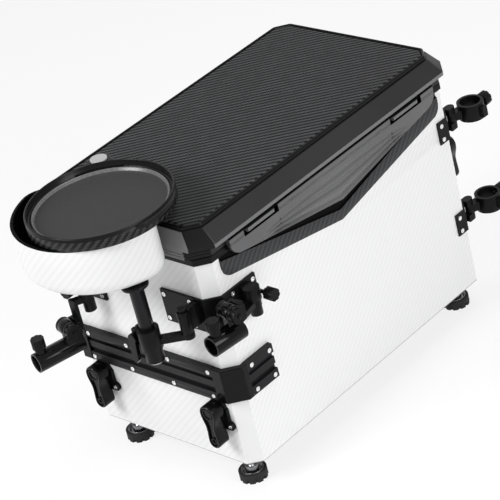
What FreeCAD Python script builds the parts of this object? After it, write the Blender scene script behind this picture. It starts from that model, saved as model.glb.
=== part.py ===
import FreeCAD, Part
import math
import os
import Sketcher

# Fishing seat box: a storage box that is also a seat, with sliding legs, a lid, two rod rests,
# a bait bowl with a serving tray, and two clamps for a parasol pole.
# Millimetres. +X is the right side, -Y the front, +Z up. The origin is on the ground, under the box's middle.

VALUES = {
    # the box
    "body_width": 320, "body_length": 540, "body_height": 346, "foot_height": 48,
    "wall": 6, "floor_plate": 8, "corner": 18,
    "collar_height": 10, "collar_lip": 2, "collar_band": 14, "seal_width": 4, "seal_rise": 0.4,
    "seal_depth": 4,
    "liner_gap": 1, "liner_wall": 2.5, "liner_notch_side": 62, "liner_notch_end": 52,
    # side aprons
    "apron_reach": 240, "apron_thick": 4, "apron_end_drop": 42, "apron_mid_drop": 88, "apron_nip": 10,
    # lid and seat
    "lid_gap": 1, "lid_overhang": 8, "lid_side": 3, "skirt_height": 15, "ledge_side": 15, "ledge_height": 7,
    "slope_height": 19, "slope_side": 23, "slope_end": 11, "lid_wall": 8, "lid_roof": 7, "lid_corner": 26,
    "top_corner_less": 6, "tab_drop_low": 6, "pin_run": 12, "pad_shoulder": 3,
    "bead_width": 6, "bead_height": 5, "pad_height": 6, "pad_crown": 2, "pad_gap": 0.4, "panel_gap": 0.05,
    # side flaps, on hinge pins under the lid's ledge
    "flap_thick": 8, "flap_reach": 225, "flap_end_drop": 15, "flap_mid_drop": 52, "flap_nip": 7,
    "scoop_rise": 8, "hinge_out": 10,
    "hinge_up": 10, "pin_radius": 2, "pin_clear": 0.25, "tab_length": 70, "tab_middle": 160,
    "scoop_depth": 4, "scoop_reach": 165, "scoop_top": 14, "scoop_bottom": 42,
    # rails
    "rail_low": 160, "rail_height": 55, "rail_depth": 8, "rail_web": 3, "rail_lip": 14, "rail_rib": 6.5,
    "side_rail_length": 54, "cover_reach": 14, "cover_side": 6, "cover_thick": 9,
    # corner brackets
    "bracket_low": 277, "bracket_height": 53, "bracket_thick": 4, "bracket_front": 80, "bracket_side": 65,
    "front_screw_near": 23, "side_screw_near": 18,
    "rear_bracket_height": 36, "rear_bracket_thick": 3, "rear_bracket_side": 21, "rear_bracket_end": 36,
    "rear_screw_rise": 11, "rear_screw_reach": 29,
    # screws
    "screw_head": 3.6, "screw_head_height": 1.6, "screw_shank": 1.9, "screw_fit": 0.1, "screw_grip": 3,
    "screw_socket": 1.7, "screw_inset": 7,
    # legs and feet
    "leg_side_inset": 43, "leg_end_inset": 28, "leg_radius": 12.5, "sleeve_clear": 0.5, "sleeve_wall": 3.5,
    "leg_length": 250, "leg_bottom": 30, "sleeve_height": 250, "ball_radius": 6, "ball_height": 17,
    "ball_clear": 0.3, "neck_radius": 3.5, "pad_radius": 21, "pad_thick": 8, "pad_rim": 14,
    "plate_radius": 16.8,
    "cleat_count": 10, "cleat_radius": 2.5, "leg_travel": 150, "leg_plug": 12, "leg_wall": 2.5,
    "plate_lift": 0.3, "plate_thick": 2.7,
    "plate_collar": 3.5, "plate_collar_height": 13.4, "plate_gap": 0.3,
    # lock levers
    "lever_height": 145, "rear_lever_height": 260, "lever_pin": 4, "lever_edge": 2.5, "lever_boss": 8,
    "lever_slot": 11, "lever_gap": 0.4, "lever_dip": 5,
    "flange_lug": 7, "flange_drop": 30, "lever_length": 48, "lever_hub": 14, "lever_tip": 10,
    "lever_depth": 22, "flange_thick": 5, "flange_radius": 14.6, "flange_reach": 17,
    # bait bowl, tray and pole
    "bowl_x": 0, "bowl_ahead": 17, "bowl_radius": 126, "bowl_height": 80, "bowl_top": 463, "bowl_wall": 3,
    "bowl_round": 26, "bowl_gap": 3, "liner_skin": 2,
    "tray_x": 14, "tray_ahead": 31, "tray_radius": 106, "tray_low": 463.5, "tray_height": 20, "tray_floor": 5,
    "tray_lip": 13, "tray_edge": 2.5, "ear_aside": 70, "ear_back": 57.5, "ear_radius": 17, "ear_spread": 40,
    "ear_lift": 4, "ear_height": 8, "cap_height": 2.6, "post_gap": 0.3, "cap_radius": 12.5, "tab_drop": 9,
    "tab_step": 3,
    "pivot_radius": 6, "post_radius": 13,
    "pole_inset": 70, "pole_ahead": 65, "pole_radius": 10.5, "pole_low": 255, "clamp_low": 278,
    "clamp_height": 32,
    "clamp_wall": 5, "pole_flange": 9, "pole_flange_height": 4, "pole_clear": 0.3, "clamp_lug": 16,
    "clamp_lug_thick": 14, "clamp_slit": 2, "clamp_hub": 7, "clamp_lever_depth": 6.6,
    "clamp_lever_length": 42, "sleeve_tube": 20, "socket_inset": 30, "socket_out": 30, "socket_radius": 9,
    "socket_low": 293, "socket_height": 34, "socket_pin": 4, "socket_web": 10, "arm_gap": 0.5,
    "arm_half": 7, "pin_head": 4, "arm_height": 9,
    # rod rests
    "right_pivot_out": 18, "right_pivot_back": 58, "right_drum_out": 24, "right_drum_back": 4,
    "right_level": 319,
    "left_pivot_inset": 80, "left_pivot_ahead": 22, "left_drum_inset": 63, "left_drum_ahead": 59,
    "left_level": 256,
    "right_lug": 20, "left_lug": 14, "lug_drop": 14, "lug_rise": 38, "right_yaw": -6.4, "left_yaw": -14.3,
    "rod_tube_radius": 15, "rod_bore": 12.5, "rod_drop": 34, "right_tube_length": 55,
    "right_tube_ahead": 14.5,
    "right_tube_aside": 0, "left_tube_length": 77, "left_tube_ahead": 20, "left_tube_aside": 8,
    "drum_radius": 12, "drum_width": 16, "cheek_thick": 5, "cheek_gap": 0.4, "knob_radius": 12,
    "knob_height": 17, "knob_back": 12, "flute_radius": 2, "knob_gap": 0.5, "bridge_gap": 0.6,
    "bridge_thick": 6, "bridge_height": 14,
    "tilt_knob_length": 10, "bolt_head": 6, "bolt_head_height": 3.6, "neck_width": 10, "neck_length": 18,
    "boss_radius": 8, "boss_height": 7,
    "right_arm_knob_aside": 15, "left_arm_knob_aside": 18, "right_arm_knob_level": 309,
    "left_arm_knob_level": 306, "arm_knob_reach": 27,
    "arm_knob_radius": 9.5, "arm_knob_length": 15, "bolt_radius": 3, "bolt_clear": 0.25, "barrel_radius": 9,
    "barrel_height": 24, "barrel_flange": 3, "barrel_clear": 0.4, "arm_bar": 8.6,
    # parasol pole clamps
    "ring_inset": 1, "ring_behind": 44, "ring_bore": 16, "ring_wall": 4.5, "ring_height": 26,
    "ring_hinge_inset": 14, "ring_hinge_out": 12, "ring_high": 318, "ring_lower": 158, "knuckle_radius": 7,
    "ring_lug_half": 7, "ring_lug_gap": 0.3, "ring_knob_length": 13, "ring_knob_gap": 4.6,
}

PI_EIGHTH_TAN = math.tan(math.pi / 8)


class Size:
    """A length that carries both its number and the formula that binds it to the sheet."""

    def __init__(self, value, text):
        self.value = value
        self.text = text

    def join(self, other, sign, result):
        return Size(result, "(" + self.text + sign + other.text + ")")

    def __add__(self, other):
        other = size(other)
        return self.join(other, " + ", self.value + other.value)

    def __sub__(self, other):
        other = size(other)
        return self.join(other, " - ", self.value - other.value)

    def __mul__(self, other):
        other = size(other)
        return self.join(other, " * ", self.value * other.value)

    def __truediv__(self, other):
        other = size(other)
        return self.join(other, " / ", self.value / other.value)

    def __radd__(self, other):
        return size(other) + self

    def __rsub__(self, other):
        return size(other) - self

    def __rmul__(self, other):
        return size(other) * self

    def __neg__(self):
        return size(-1) * self

    def __float__(self):
        return float(self.value)


def size(number):
    """Any number or Size as a Size."""
    if isinstance(number, Size):
        return number
    return Size(float(number), repr(float(number)))


doc = FreeCAD.newDocument("seat_box")
sheet = doc.addObject("Spreadsheet::Sheet", "Sizes")
for row, (alias, number) in enumerate(VALUES.items(), start=1):
    sheet.set("A" + str(row), alias)
    sheet.set("B" + str(row), str(number))
    sheet.setAlias("B" + str(row), alias)
doc.recompute()


class Sheet:
    """The driving sizes by name."""

    def __getattr__(self, alias):
        return Size(float(VALUES[alias]), "Sizes." + alias)


s = Sheet()
nodes = []


def bind(thing, prop, amount):
    thing.setExpression(prop, size(amount).text)


def place(thing, x, y, z):
    bind(thing, "Placement.Base.x", x)
    bind(thing, "Placement.Base.y", y)
    bind(thing, "Placement.Base.z", z)


def block(x, y, z, dx, dy, dz):
    """A box from its lowest corner and its three sizes."""
    thing = doc.addObject("Part::Box", "block")
    bind(thing, "Length", dx)
    bind(thing, "Width", dy)
    bind(thing, "Height", dz)
    place(thing, x, y, z)
    return thing


DIRECTIONS = {
    "Z": FreeCAD.Rotation(),
    "X": FreeCAD.Rotation(FreeCAD.Vector(0, 1, 0), 90),
    "Y": FreeCAD.Rotation(FreeCAD.Vector(1, 0, 0), -90),
}


def rod(x, y, z, radius, length, along="Z"):
    """A cylinder that starts at a point and runs along +X, +Y or +Z."""
    thing = doc.addObject("Part::Cylinder", "rod")
    bind(thing, "Radius", radius)
    bind(thing, "Height", length)
    thing.Placement = FreeCAD.Placement(FreeCAD.Vector(), DIRECTIONS[along])
    place(thing, x, y, z)
    return thing


def ball(x, y, z, radius):
    thing = doc.addObject("Part::Sphere", "ball")
    bind(thing, "Radius", radius)
    place(thing, x, y, z)
    return thing


def cone(x, y, z, low_radius, high_radius, length):
    thing = doc.addObject("Part::Cone", "cone")
    bind(thing, "Radius1", low_radius)
    bind(thing, "Radius2", high_radius)
    bind(thing, "Height", length)
    place(thing, x, y, z)
    return thing


def plane_of(body, role):
    return next(item for item in body.Origin.OriginFeatures if item.Role == role)


def outline(body, role, points, lift=0):
    """A closed sketch of straight edges whose corners are bound to the sheet."""
    sketch = body.newObject("Sketcher::SketchObject", "outline")
    sketch.AttachmentSupport = [(plane_of(body, role), "")]
    sketch.MapMode = "FlatFace"
    bind(sketch, "AttachmentOffset.Base.z", lift)
    corners = [(size(a), size(b)) for a, b in points]
    flat = [FreeCAD.Vector(float(a), float(b), 0) for a, b in corners]
    for start, end in zip(flat, flat[1:] + flat[:1]):
        sketch.addGeometry(Part.LineSegment(start, end), False)
    for index, (a, b) in enumerate(corners):
        sketch.addConstraint(Sketcher.Constraint("Coincident", index, 2, (index + 1) % len(corners), 1))
        for kind, amount in (("DistanceX", a), ("DistanceY", b)):
            number = sketch.addConstraint(Sketcher.Constraint(kind, -1, 1, index, 1, float(amount)))
            sketch.setExpression("Constraints[" + str(number) + "]", amount.text)
    return sketch


def prism(points, start, height, role="XY_Plane"):
    """A padded outline. On XY it runs along +Z, on YZ along +X, on XZ along -Y."""
    body = doc.addObject("PartDesign::Body", "prism")
    sketch = outline(body, role, points)
    pad = body.newObject("PartDesign::Pad", "pad")
    pad.Profile = sketch
    bind(pad, "Length", height)
    body.Tip = pad
    axis = {"XY_Plane": "z", "YZ_Plane": "x", "XZ_Plane": "y"}[role]
    bind(body, "Placement.Base." + axis, start)
    return body


def taper(low, high, start, height):
    """A straight-sided loft from one outline up to another with as many corners."""
    body = doc.addObject("PartDesign::Body", "taper")
    first = outline(body, "XY_Plane", low)
    second = outline(body, "XY_Plane", high, height)
    loft = body.newObject("PartDesign::AdditiveLoft", "loft")
    loft.Profile = first
    loft.Sections = [second]
    loft.Ruled = True
    body.Tip = loft
    bind(body, "Placement.Base.z", start)
    return body


def rounded_disc(x, y, z, radius, height, rounding):
    """A disc whose lower edge is rounded."""
    body = doc.addObject("PartDesign::Body", "disc")
    sketch = body.newObject("Sketcher::SketchObject", "circle")
    sketch.AttachmentSupport = [(plane_of(body, "XY_Plane"), "")]
    sketch.MapMode = "FlatFace"
    sketch.addGeometry(Part.Circle(FreeCAD.Vector(), FreeCAD.Vector(0, 0, 1), float(radius)), False)
    sketch.addConstraint(Sketcher.Constraint("Coincident", 0, 3, -1, 1))
    number = sketch.addConstraint(Sketcher.Constraint("Radius", 0, float(radius)))
    bind(sketch, "Constraints[" + str(number) + "]", radius)
    pad = body.newObject("PartDesign::Pad", "pad")
    pad.Profile = sketch
    bind(pad, "Length", height)
    doc.recompute()
    low = min(range(len(pad.Shape.Edges)), key=lambda i: pad.Shape.Edges[i].BoundBox.ZMax)
    fillet = body.newObject("PartDesign::Fillet", "rounding")
    fillet.Base = (pad, ["Edge" + str(low + 1)])
    bind(fillet, "Radius", rounding)
    body.Tip = fillet
    place(body, x, y, z)
    return body


def join(*things):
    """One solid from pieces that touch or overlap."""
    thing = doc.addObject("Part::MultiFuse", "join")
    thing.Shapes = list(things)
    thing.Refine = True
    return thing


def group(things):
    """Separate solids kept side by side."""
    thing = doc.addObject("Part::Compound", "group")
    thing.Links = list(things)
    return thing


def cut(base, *tools):
    """A piece with other shapes taken out of it."""
    for tool in tools:
        thing = doc.addObject("Part::Cut", "cut")
        thing.Base = base
        thing.Tool = tool
        base = thing
    return base


def common(first, second):
    thing = doc.addObject("Part::MultiCommon", "common")
    thing.Shapes = [first, second]
    return thing


def mirrored(source):
    """The left-hand copy of a right-hand piece."""
    thing = doc.addObject("Part::Mirroring", "mirrored")
    thing.Source = source
    thing.Normal = FreeCAD.Vector(1, 0, 0)
    return thing


def turned(source, x, y, z, angle=0):
    """A piece drawn round its own origin, turned about Z and set down in the frame."""
    thing = doc.addObject("Part::Compound", "turned")
    thing.Links = [source]
    spin = FreeCAD.Rotation(FreeCAD.Vector(0, 0, 1), float(angle))
    thing.Placement = FreeCAD.Placement(FreeCAD.Vector(), spin)
    place(thing, x, y, z)
    return thing


def node(name, thing):
    """Names a finished piece. The name is also its file's name."""
    thing.Label = name
    nodes.append(thing)
    return thing


def octagon(half_width, half_length, corner):
    """A rectangle with its four corners cut off, in plan."""
    w, e, c = size(half_width), size(half_length), size(corner)
    return [(w - c, -e), (w, c - e), (w, e - c), (w - c, e),
            (c - w, e), (-w, e - c), (-w, c - e), (c - w, -e)]


def inner_corner(corner, inset):
    """The corner cut that keeps an even wall when an octagon is drawn in by inset."""
    return size(corner) - size(inset) * (2 * PI_EIGHTH_TAN)


half_width = s.body_width / 2
half_length = s.body_length / 2
rim = s.foot_height + s.body_height
shell_top = rim - s.collar_height
lid_low = rim + s.lid_gap
ledge_low = lid_low + s.skirt_height
ledge_top = ledge_low + s.ledge_height
lid_top = ledge_top + s.slope_height
seat_top = lid_top + s.pad_height
hinge_x = half_width + s.hinge_out
hinge_z = rim + s.hinge_up
lid_end = half_length + s.lid_overhang
leg_x = half_width - s.leg_side_inset
leg_y = half_length - s.leg_end_inset
bowl_x = s.bowl_x
bowl_y = -half_length - s.bowl_ahead
tray_x = s.tray_x
tray_y = -half_length - s.tray_ahead
ear_x = -s.ear_aside
ear_y = s.ear_back - half_length
pole_x = half_width - s.pole_inset
pole_y = -half_length - s.pole_ahead
socket_x = half_width - s.socket_inset
right_pivot_x = half_width + s.right_pivot_out
right_pivot_y = s.right_pivot_back - half_length
right_drum_x = half_width + s.right_drum_out
right_drum_y = s.right_drum_back - half_length
left_pivot_x = s.left_pivot_inset - half_width
left_pivot_y = -half_length - s.left_pivot_ahead
left_drum_x = s.left_drum_inset - half_width
left_drum_y = -half_length - s.left_drum_ahead
ring_x = half_width - s.ring_inset
ring_y = half_length + s.ring_behind
ring_hinge_x = half_width - s.ring_hinge_inset
LEG_CORNERS = {"front_right": (1, -1), "front_left": (-1, -1), "rear_right": (1, 1), "rear_left": (-1, 1)}
LEGS = []
for side, end in LEG_CORNERS.values():
    LEGS.append((side * leg_x, end * leg_y, s.lever_height if end < 0 else s.rear_lever_height, end))


def end_y(end, start, length):
    """The low Y of a piece that starts some way outside the body's front (-1) or rear (+1) face."""
    if end < 0:
        return -half_length - start - length
    return half_length + start


# Screws. Each group is drawn twice: the screws themselves, and the holes they need.

def screw_run(x, y, z, facing, radius, head):
    """A screw's shank, or its hole, and its head. Facing is the side it is driven from."""
    deep = s.screw_grip + s.bracket_thick
    outward = {"front": (0, -1), "rear": (0, 1), "right": (1, 0), "left": (-1, 0)}[facing]
    along = "Y" if outward[0] == 0 else "X"
    sign = outward[0] + outward[1]
    start = deep if sign > 0 else size(0)
    move_x = start if along == "X" else size(0)
    move_y = start if along == "Y" else size(0)
    shank = rod(x - move_x, y - move_y, z, radius, deep, along)
    if not head:
        return shank
    back = size(0) if sign > 0 else s.screw_head_height
    head_x = size(x) - (back if along == "X" else 0)
    head_y = size(y) - (back if along == "Y" else 0)
    cap = rod(head_x, head_y, z, s.screw_head, s.screw_head_height, along)
    dip = s.screw_head_height / 2
    socket_x = size(x) + ((dip if sign > 0 else -s.screw_head_height) if along == "X" else 0)
    socket_y = size(y) + ((dip if sign > 0 else -s.screw_head_height) if along == "Y" else 0)
    socket = rod(socket_x, socket_y, z, s.screw_socket, dip, along)
    return cut(join(shank, cap), socket)


def screws(spots):
    return [screw_run(x, y, z, facing, s.screw_shank, True) for x, y, z, facing in spots]


def holes(spots):
    return group([screw_run(x, y, z, facing, s.screw_shank + s.screw_fit, False) for x, y, z, facing in spots])


rail_front = -half_length - s.rail_depth
rail_top_line = s.rail_low + s.rail_height - s.screw_inset
rail_bottom_line = s.rail_low + s.screw_inset
front_rail_half = half_width - s.corner - s.cover_reach
side_rail_start = s.corner + s.cover_side - half_length
rail_spots = []
for level in (rail_bottom_line, rail_top_line):
    for share in (-0.95, -0.33, 0.33, 0.95):
        rail_spots.append((front_rail_half * share, rail_front, level, "front"))
    for facing, sign in (("right", 1), ("left", -1)):
        for share in (0.15, 0.85):
            along_side = side_rail_start + s.side_rail_length * share
            rail_spots.append((sign * (half_width + s.rail_depth), along_side, level, facing))

bracket_middle = s.bracket_low + s.bracket_height / 2
bracket_spots = []
for facing, sign in (("right", 1), ("left", -1)):
    face_x = sign * (half_width + s.bracket_thick)
    for level in (s.bracket_low + s.screw_inset, s.bracket_low + s.bracket_height - s.screw_inset):
        for reach in (s.side_screw_near, s.bracket_side - s.screw_inset):
            bracket_spots.append((face_x, s.corner + reach - half_length, level, facing))
        front_y = -half_length - s.bracket_thick
        for reach in (s.front_screw_near, s.bracket_front - s.screw_inset):
            bracket_spots.append((sign * (half_width - s.corner - reach), front_y, level, "front"))
for level in (s.ring_high, s.ring_lower):
    for step in (-1, 1):
        screw_z = level + s.rear_screw_rise * step
        side_y = half_length - s.corner - s.rear_bracket_side + s.screw_inset
        bracket_spots.append((half_width + s.rear_bracket_thick, side_y, screw_z, "right"))
        bracket_spots.append((half_width - s.corner - s.rear_screw_reach, half_length + s.rear_bracket_thick,
                              screw_z, "rear"))
for leg_at_x, _, lever_z, end in LEGS:
    facing = "front" if end < 0 else "rear"
    bracket_spots.append((leg_at_x + s.flange_reach, end * (half_length + s.flange_thick),
                          lever_z - s.flange_drop, facing))

rail_holes = holes(rail_spots)
bracket_holes = holes(bracket_spots)


# The white body: an open box with cut corners, holes for the legs in its floor and for the lock pins.

shell_outer = prism(octagon(half_width, half_length, s.corner), s.foot_height, s.body_height - s.collar_height)
shell_inner = prism(octagon(half_width - s.wall, half_length - s.wall, inner_corner(s.corner, s.wall)),
                    s.foot_height + s.floor_plate, s.body_height)
leg_hole = s.leg_radius + s.sleeve_clear
leg_holes = group([rod(x, y, s.foot_height - 1, leg_hole, s.floor_plate + 2) for x, y, _, _ in LEGS])
pin_hole = s.lever_pin + s.pin_clear
pin_holes = group([rod(x, end_y(end, -s.leg_end_inset, s.leg_end_inset + s.flange_thick + 1), lever_z, pin_hole,
                       s.leg_end_inset + s.flange_thick + 1, "Y") for x, _, lever_z, end in LEGS])
node("body_shell", cut(shell_outer, shell_inner, leg_holes, pin_holes, rail_holes, bracket_holes))


# The storage tub inside it, notched round the four leg sleeves.

def plus(half_w, half_l):
    """A rectangle with a square notch in each corner."""
    w, e = size(half_w), size(half_l)
    nw, ne = w - s.liner_notch_side, e - s.liner_notch_end
    return [(nw, -e), (nw, -ne), (w, -ne), (w, ne), (nw, ne), (nw, e),
            (-nw, e), (-nw, ne), (-w, ne), (-w, -ne), (-nw, -ne), (-nw, -e)]


tub_half_width = half_width - s.wall - s.liner_gap
tub_half_length = half_length - s.wall - s.liner_gap
tub_low = s.foot_height + s.floor_plate
tub_height = shell_top - tub_low
tub_outer = prism(plus(tub_half_width, tub_half_length), tub_low, tub_height)
tub_inner = prism(plus(tub_half_width - s.liner_wall, tub_half_length - s.liner_wall),
                  tub_low + s.liner_wall, tub_height)
node("inner_liner", cut(tub_outer, tub_inner))

# The black collar on the body's top edge, with a groove for the lid's seal.
collar_outer = prism(octagon(half_width + s.collar_lip, half_length + s.collar_lip, s.corner),
                     shell_top, s.collar_height)
collar_inner = prism(octagon(half_width - s.collar_band, half_length - s.collar_band,
                             inner_corner(s.corner, s.collar_band)), shell_top - 1, s.collar_height + 2)


def seal_ring(low, height):
    """The lid seal's ring, which is also the groove's."""
    outer = prism(octagon(half_width, half_length, s.corner), low, height)
    inset = s.seal_width
    inner = prism(octagon(half_width - inset, half_length - inset, inner_corner(s.corner, inset)), low - 1,
                  size(height) + 2)
    return cut(outer, inner)


node("top_collar", cut(collar_outer, collar_inner, seal_ring(rim - s.seal_depth, s.seal_depth + 1)))
node("lid_seal", seal_ring(rim - s.seal_depth, s.seal_depth + s.seal_rise))

# The V-shaped trim on each side of the body, under the flap.
apron_outline = [
    (-s.apron_reach, shell_top), (-s.apron_reach, rim - s.apron_end_drop + s.apron_nip),
    (s.apron_nip - s.apron_reach, rim - s.apron_end_drop), (0.01, rim - s.apron_mid_drop),
    (s.apron_reach - s.apron_nip, rim - s.apron_end_drop), (s.apron_reach, rim - s.apron_end_drop + s.apron_nip),
    (s.apron_reach, shell_top)]
apron = prism(apron_outline, half_width, s.apron_thick, "YZ_Plane")
node("side_apron_right", apron)
node("side_apron_left", mirrored(apron))


# Rails: one profile with two grooves, run along the front and a short way along each side.

def rail_profile(face, outward):
    """The rail's section. Face is the body's face, outward +1 or -1 along the sketch's first axis."""
    low, tall = s.rail_low, s.rail_height
    face = size(face)
    full = face + outward * s.rail_depth
    web = face + outward * s.rail_web
    rib = face + outward * s.rail_rib
    rib_low = low + s.rail_lip + s.rail_depth
    rib_high = low + tall - s.rail_lip - s.rail_depth
    return [(face, low), (full, low), (full, low + s.rail_lip), (web, low + s.rail_lip), (web, rib_low),
            (rib, rib_low), (rib, rib_high), (web, rib_high), (web, low + tall - s.rail_lip),
            (full, low + tall - s.rail_lip), (full, low + tall), (face, low + tall)]


front_rail = prism(rail_profile(-half_length, -1), -front_rail_half, front_rail_half * 2, "YZ_Plane")
node("front_rail", cut(front_rail, rail_holes))
side_rail = prism(rail_profile(half_width, 1), side_rail_start + s.side_rail_length, s.side_rail_length,
                  "XZ_Plane")
node("side_rail_right", cut(side_rail, rail_holes))
node("side_rail_left", cut(mirrored(side_rail), rail_holes))


def corner_wrap(front_reach, side_reach, thick, side=1, end=-1):
    """The plan of a plate bent round one cut corner of the body."""
    lean = size(thick) * PI_EIGHTH_TAN
    inside_x = half_width - s.corner
    inside_y = half_length - s.corner
    points = [(inside_x - front_reach, half_length), (inside_x, half_length), (half_width, inside_y),
              (half_width, inside_y - side_reach), (half_width + thick, inside_y - side_reach),
              (half_width + thick, inside_y + lean), (inside_x + lean, half_length + thick),
              (inside_x - front_reach, half_length + thick)]
    return [(side * x, end * y) for x, y in points]


cover = prism(corner_wrap(s.cover_reach, s.cover_side, s.cover_thick), s.rail_low, s.rail_height)
node("rail_corners", group([cover, mirrored(cover)]))
node("rail_screws", group(screws(rail_spots)))


# Upper corner brackets. The right one carries the bowl arm's socket, and each carries a rod rest's pivot.

socket_y = -half_length - s.socket_out


def pivot_block(x, y, low, tall, face_x, face_y):
    """A lug from a bracket's face out to a rod arm's vertical pivot pin, with the pin under it."""
    pin = rod(x, y, size(low) - s.barrel_height - 2, s.bolt_radius, s.barrel_height + 6)
    barrel = rod(x, y, low, s.barrel_radius + s.barrel_flange, tall)
    if face_x is not None:
        reach = size(x) - face_x
        lug = block(face_x, size(y) - s.barrel_radius, low, reach, s.barrel_radius * 2, tall)
    else:
        reach = size(face_y) - y
        lug = block(size(x) - s.barrel_radius, y, low, s.barrel_radius * 2, reach, tall)
    return [pin, barrel, lug]


bracket_plate = prism(corner_wrap(s.bracket_front, s.bracket_side, s.bracket_thick), s.bracket_low,
                      s.bracket_height)
socket = rod(socket_x, socket_y, s.socket_low, s.socket_radius, s.socket_height)
socket_web = block(socket_x - s.socket_web / 2, socket_y + s.socket_radius / 2, s.socket_low, s.socket_web,
                   s.socket_out - s.bracket_thick - s.socket_radius / 2 + 1, s.socket_height)
socket_bore = rod(socket_x, socket_y, s.socket_low - 1, s.socket_pin + s.pin_clear, s.socket_height + 2)
right_pivot_low = s.right_level - s.lug_drop
left_pivot_low = s.left_level + s.lug_rise
node("corner_bracket_right", cut(
    join(bracket_plate, socket, socket_web,
         *pivot_block(right_pivot_x, right_pivot_y, right_pivot_low, s.right_lug, half_width + 1, None)),
    socket_bore, bracket_holes))
node("corner_bracket_left", cut(
    join(mirrored(bracket_plate),
         *pivot_block(left_pivot_x, left_pivot_y, left_pivot_low, s.left_lug, None, -half_length - 1)),
    bracket_holes))
node("bracket_screws", group(screws(bracket_spots)))

# Rear right corner: two bent plates, each with two knuckles and a pin for a pole ring.
ring_hinge_y = half_length + s.ring_hinge_out


def rear_bracket(level):
    low = level - s.rear_bracket_height / 2
    plate = prism(corner_wrap(s.rear_bracket_end, s.rear_bracket_side, s.rear_bracket_thick, 1, 1), low,
                  s.rear_bracket_height)
    pieces = [plate, rod(ring_hinge_x, ring_hinge_y, low, s.bolt_radius, s.rear_bracket_height)]
    knuckle_tall = s.rear_bracket_height / 2 - s.ring_lug_half
    for start in (low, level + s.ring_lug_half):
        pieces.append(rod(ring_hinge_x, ring_hinge_y, start, s.knuckle_radius, knuckle_tall))
        pieces.append(block(ring_hinge_x - s.knuckle_radius, half_length + s.rear_bracket_thick / 2, start,
                            s.knuckle_radius * 2, s.ring_hinge_out - s.rear_bracket_thick / 2, knuckle_tall))
    return cut(join(*pieces), bracket_holes)


node("rear_brackets", group([rear_bracket(s.ring_high), rear_bracket(s.ring_lower)]))


# Legs. A sleeve stands in each corner, and a tube with a ball end slides in it.

sleeve_radius = s.leg_radius + s.sleeve_clear + s.sleeve_wall
sleeve_low = s.foot_height + s.floor_plate
sleeves = []
flanges = []
for x, y, lever_z, end in LEGS:
    sleeve = cut(rod(x, y, sleeve_low, sleeve_radius, s.sleeve_height),
                 rod(x, y, sleeve_low - 1, leg_hole, s.sleeve_height + 2))
    sleeves.append(cut(sleeve, pin_holes))
    face = end_y(end, 0, s.flange_thick)
    lug_z = lever_z - s.flange_drop
    web = block(x, face, lug_z - s.flange_lug, s.flange_reach, s.flange_thick, s.flange_drop + s.flange_lug)
    plate = join(rod(x, face, lever_z, s.flange_radius, s.flange_thick, "Y"),
                 rod(x + s.flange_reach, face, lug_z, s.flange_lug, s.flange_thick, "Y"), web)
    flanges.append(cut(plate, pin_holes, bracket_holes))
node("leg_sleeves", group(sleeves))
node("lever_flanges", group(flanges))


def leg(x, y):
    """The sliding tube, with a necked ball under it."""
    tube = rod(x, y, s.leg_bottom, s.leg_radius, s.leg_length)
    neck = rod(x, y, s.ball_height, s.neck_radius, s.leg_bottom - s.ball_height + 1)
    hollow = rod(x, y, s.leg_bottom + s.leg_plug, s.leg_radius - s.leg_wall, s.leg_length)
    return cut(join(tube, neck, ball(x, y, s.ball_height, s.ball_radius)), hollow)


def foot_plate(x, y):
    """The bright dished plate, with a collar round the ball."""
    socket_radius = s.ball_radius + s.ball_clear
    low = s.pad_thick + s.plate_lift
    rim_height = s.pad_rim - s.pad_thick + 1.2
    disc = rod(x, y, low, s.plate_radius, s.plate_thick)
    collar = rod(x, y, low, socket_radius + s.plate_collar, s.plate_collar_height)
    lip = cut(rod(x, y, low, s.plate_radius, rim_height),
              cone(x, y, s.pad_thick + 1, s.plate_radius - 6, s.plate_radius - 0.6, rim_height - 0.2))
    return cut(join(disc, collar, lip), rod(x, y, s.pad_thick + 2, socket_radius, s.plate_collar_height + 0.6))


def foot_pad(x, y):
    """The rubber foot: a cup with cleats cut round its lower edge."""
    seat = rod(x, y, s.pad_thick, s.plate_radius + s.plate_gap, s.pad_rim)
    cup = cut(rod(x, y, 0, s.pad_radius, s.pad_rim), seat)
    notches = []
    for number in range(VALUES["cleat_count"]):
        angle = 2 * math.pi * number / VALUES["cleat_count"]
        notches.append(rod(x + s.pad_radius * math.cos(angle), y + s.pad_radius * math.sin(angle), -1,
                           s.cleat_radius, s.pad_thick - 1))
    return cut(cup, group(notches))


def lock_lever(x, pivot_z, end):
    """A lever on a pin that presses on the leg: a round hub tapering to a round tip, hollowed in front."""
    gap = s.flange_thick + s.lever_gap
    depth = s.lever_depth
    tip_z = pivot_z - s.lever_length
    back = end_y(end, gap, depth)
    hub = rod(x, back, pivot_z, s.lever_hub, depth, "Y")
    tip = rod(x, back, tip_z, s.lever_tip, depth, "Y")
    bar = prism([(x - s.lever_hub, pivot_z), (x - s.lever_tip, tip_z), (x + s.lever_tip, tip_z),
                 (x + s.lever_hub, pivot_z)], back + depth, depth, "XZ_Plane")
    dip = s.lever_dip + 1
    dip_y = end_y(end, gap + depth - s.lever_dip, dip)
    ring = cut(rod(x, dip_y, pivot_z, s.lever_hub - s.lever_edge, dip, "Y"),
               rod(x, dip_y - 1, pivot_z, s.lever_boss, dip + 2, "Y"))
    half = s.lever_slot / 2
    slot_top = pivot_z - s.lever_hub - s.lever_edge - half
    slot_low = tip_z + s.lever_edge
    slot = join(rod(x, dip_y, slot_top, half, dip, "Y"), rod(x, dip_y, slot_low, half, dip, "Y"),
                block(x - half, dip_y, slot_low, s.lever_slot, dip, slot_top - slot_low))
    reach = s.leg_end_inset - s.leg_radius - s.lever_gap
    pin = rod(x, end_y(end, -reach, reach + gap + 1), pivot_z, s.lever_pin, reach + gap + 1, "Y")
    return join(cut(join(hub, tip, bar), ring, slot), pin)


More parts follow.
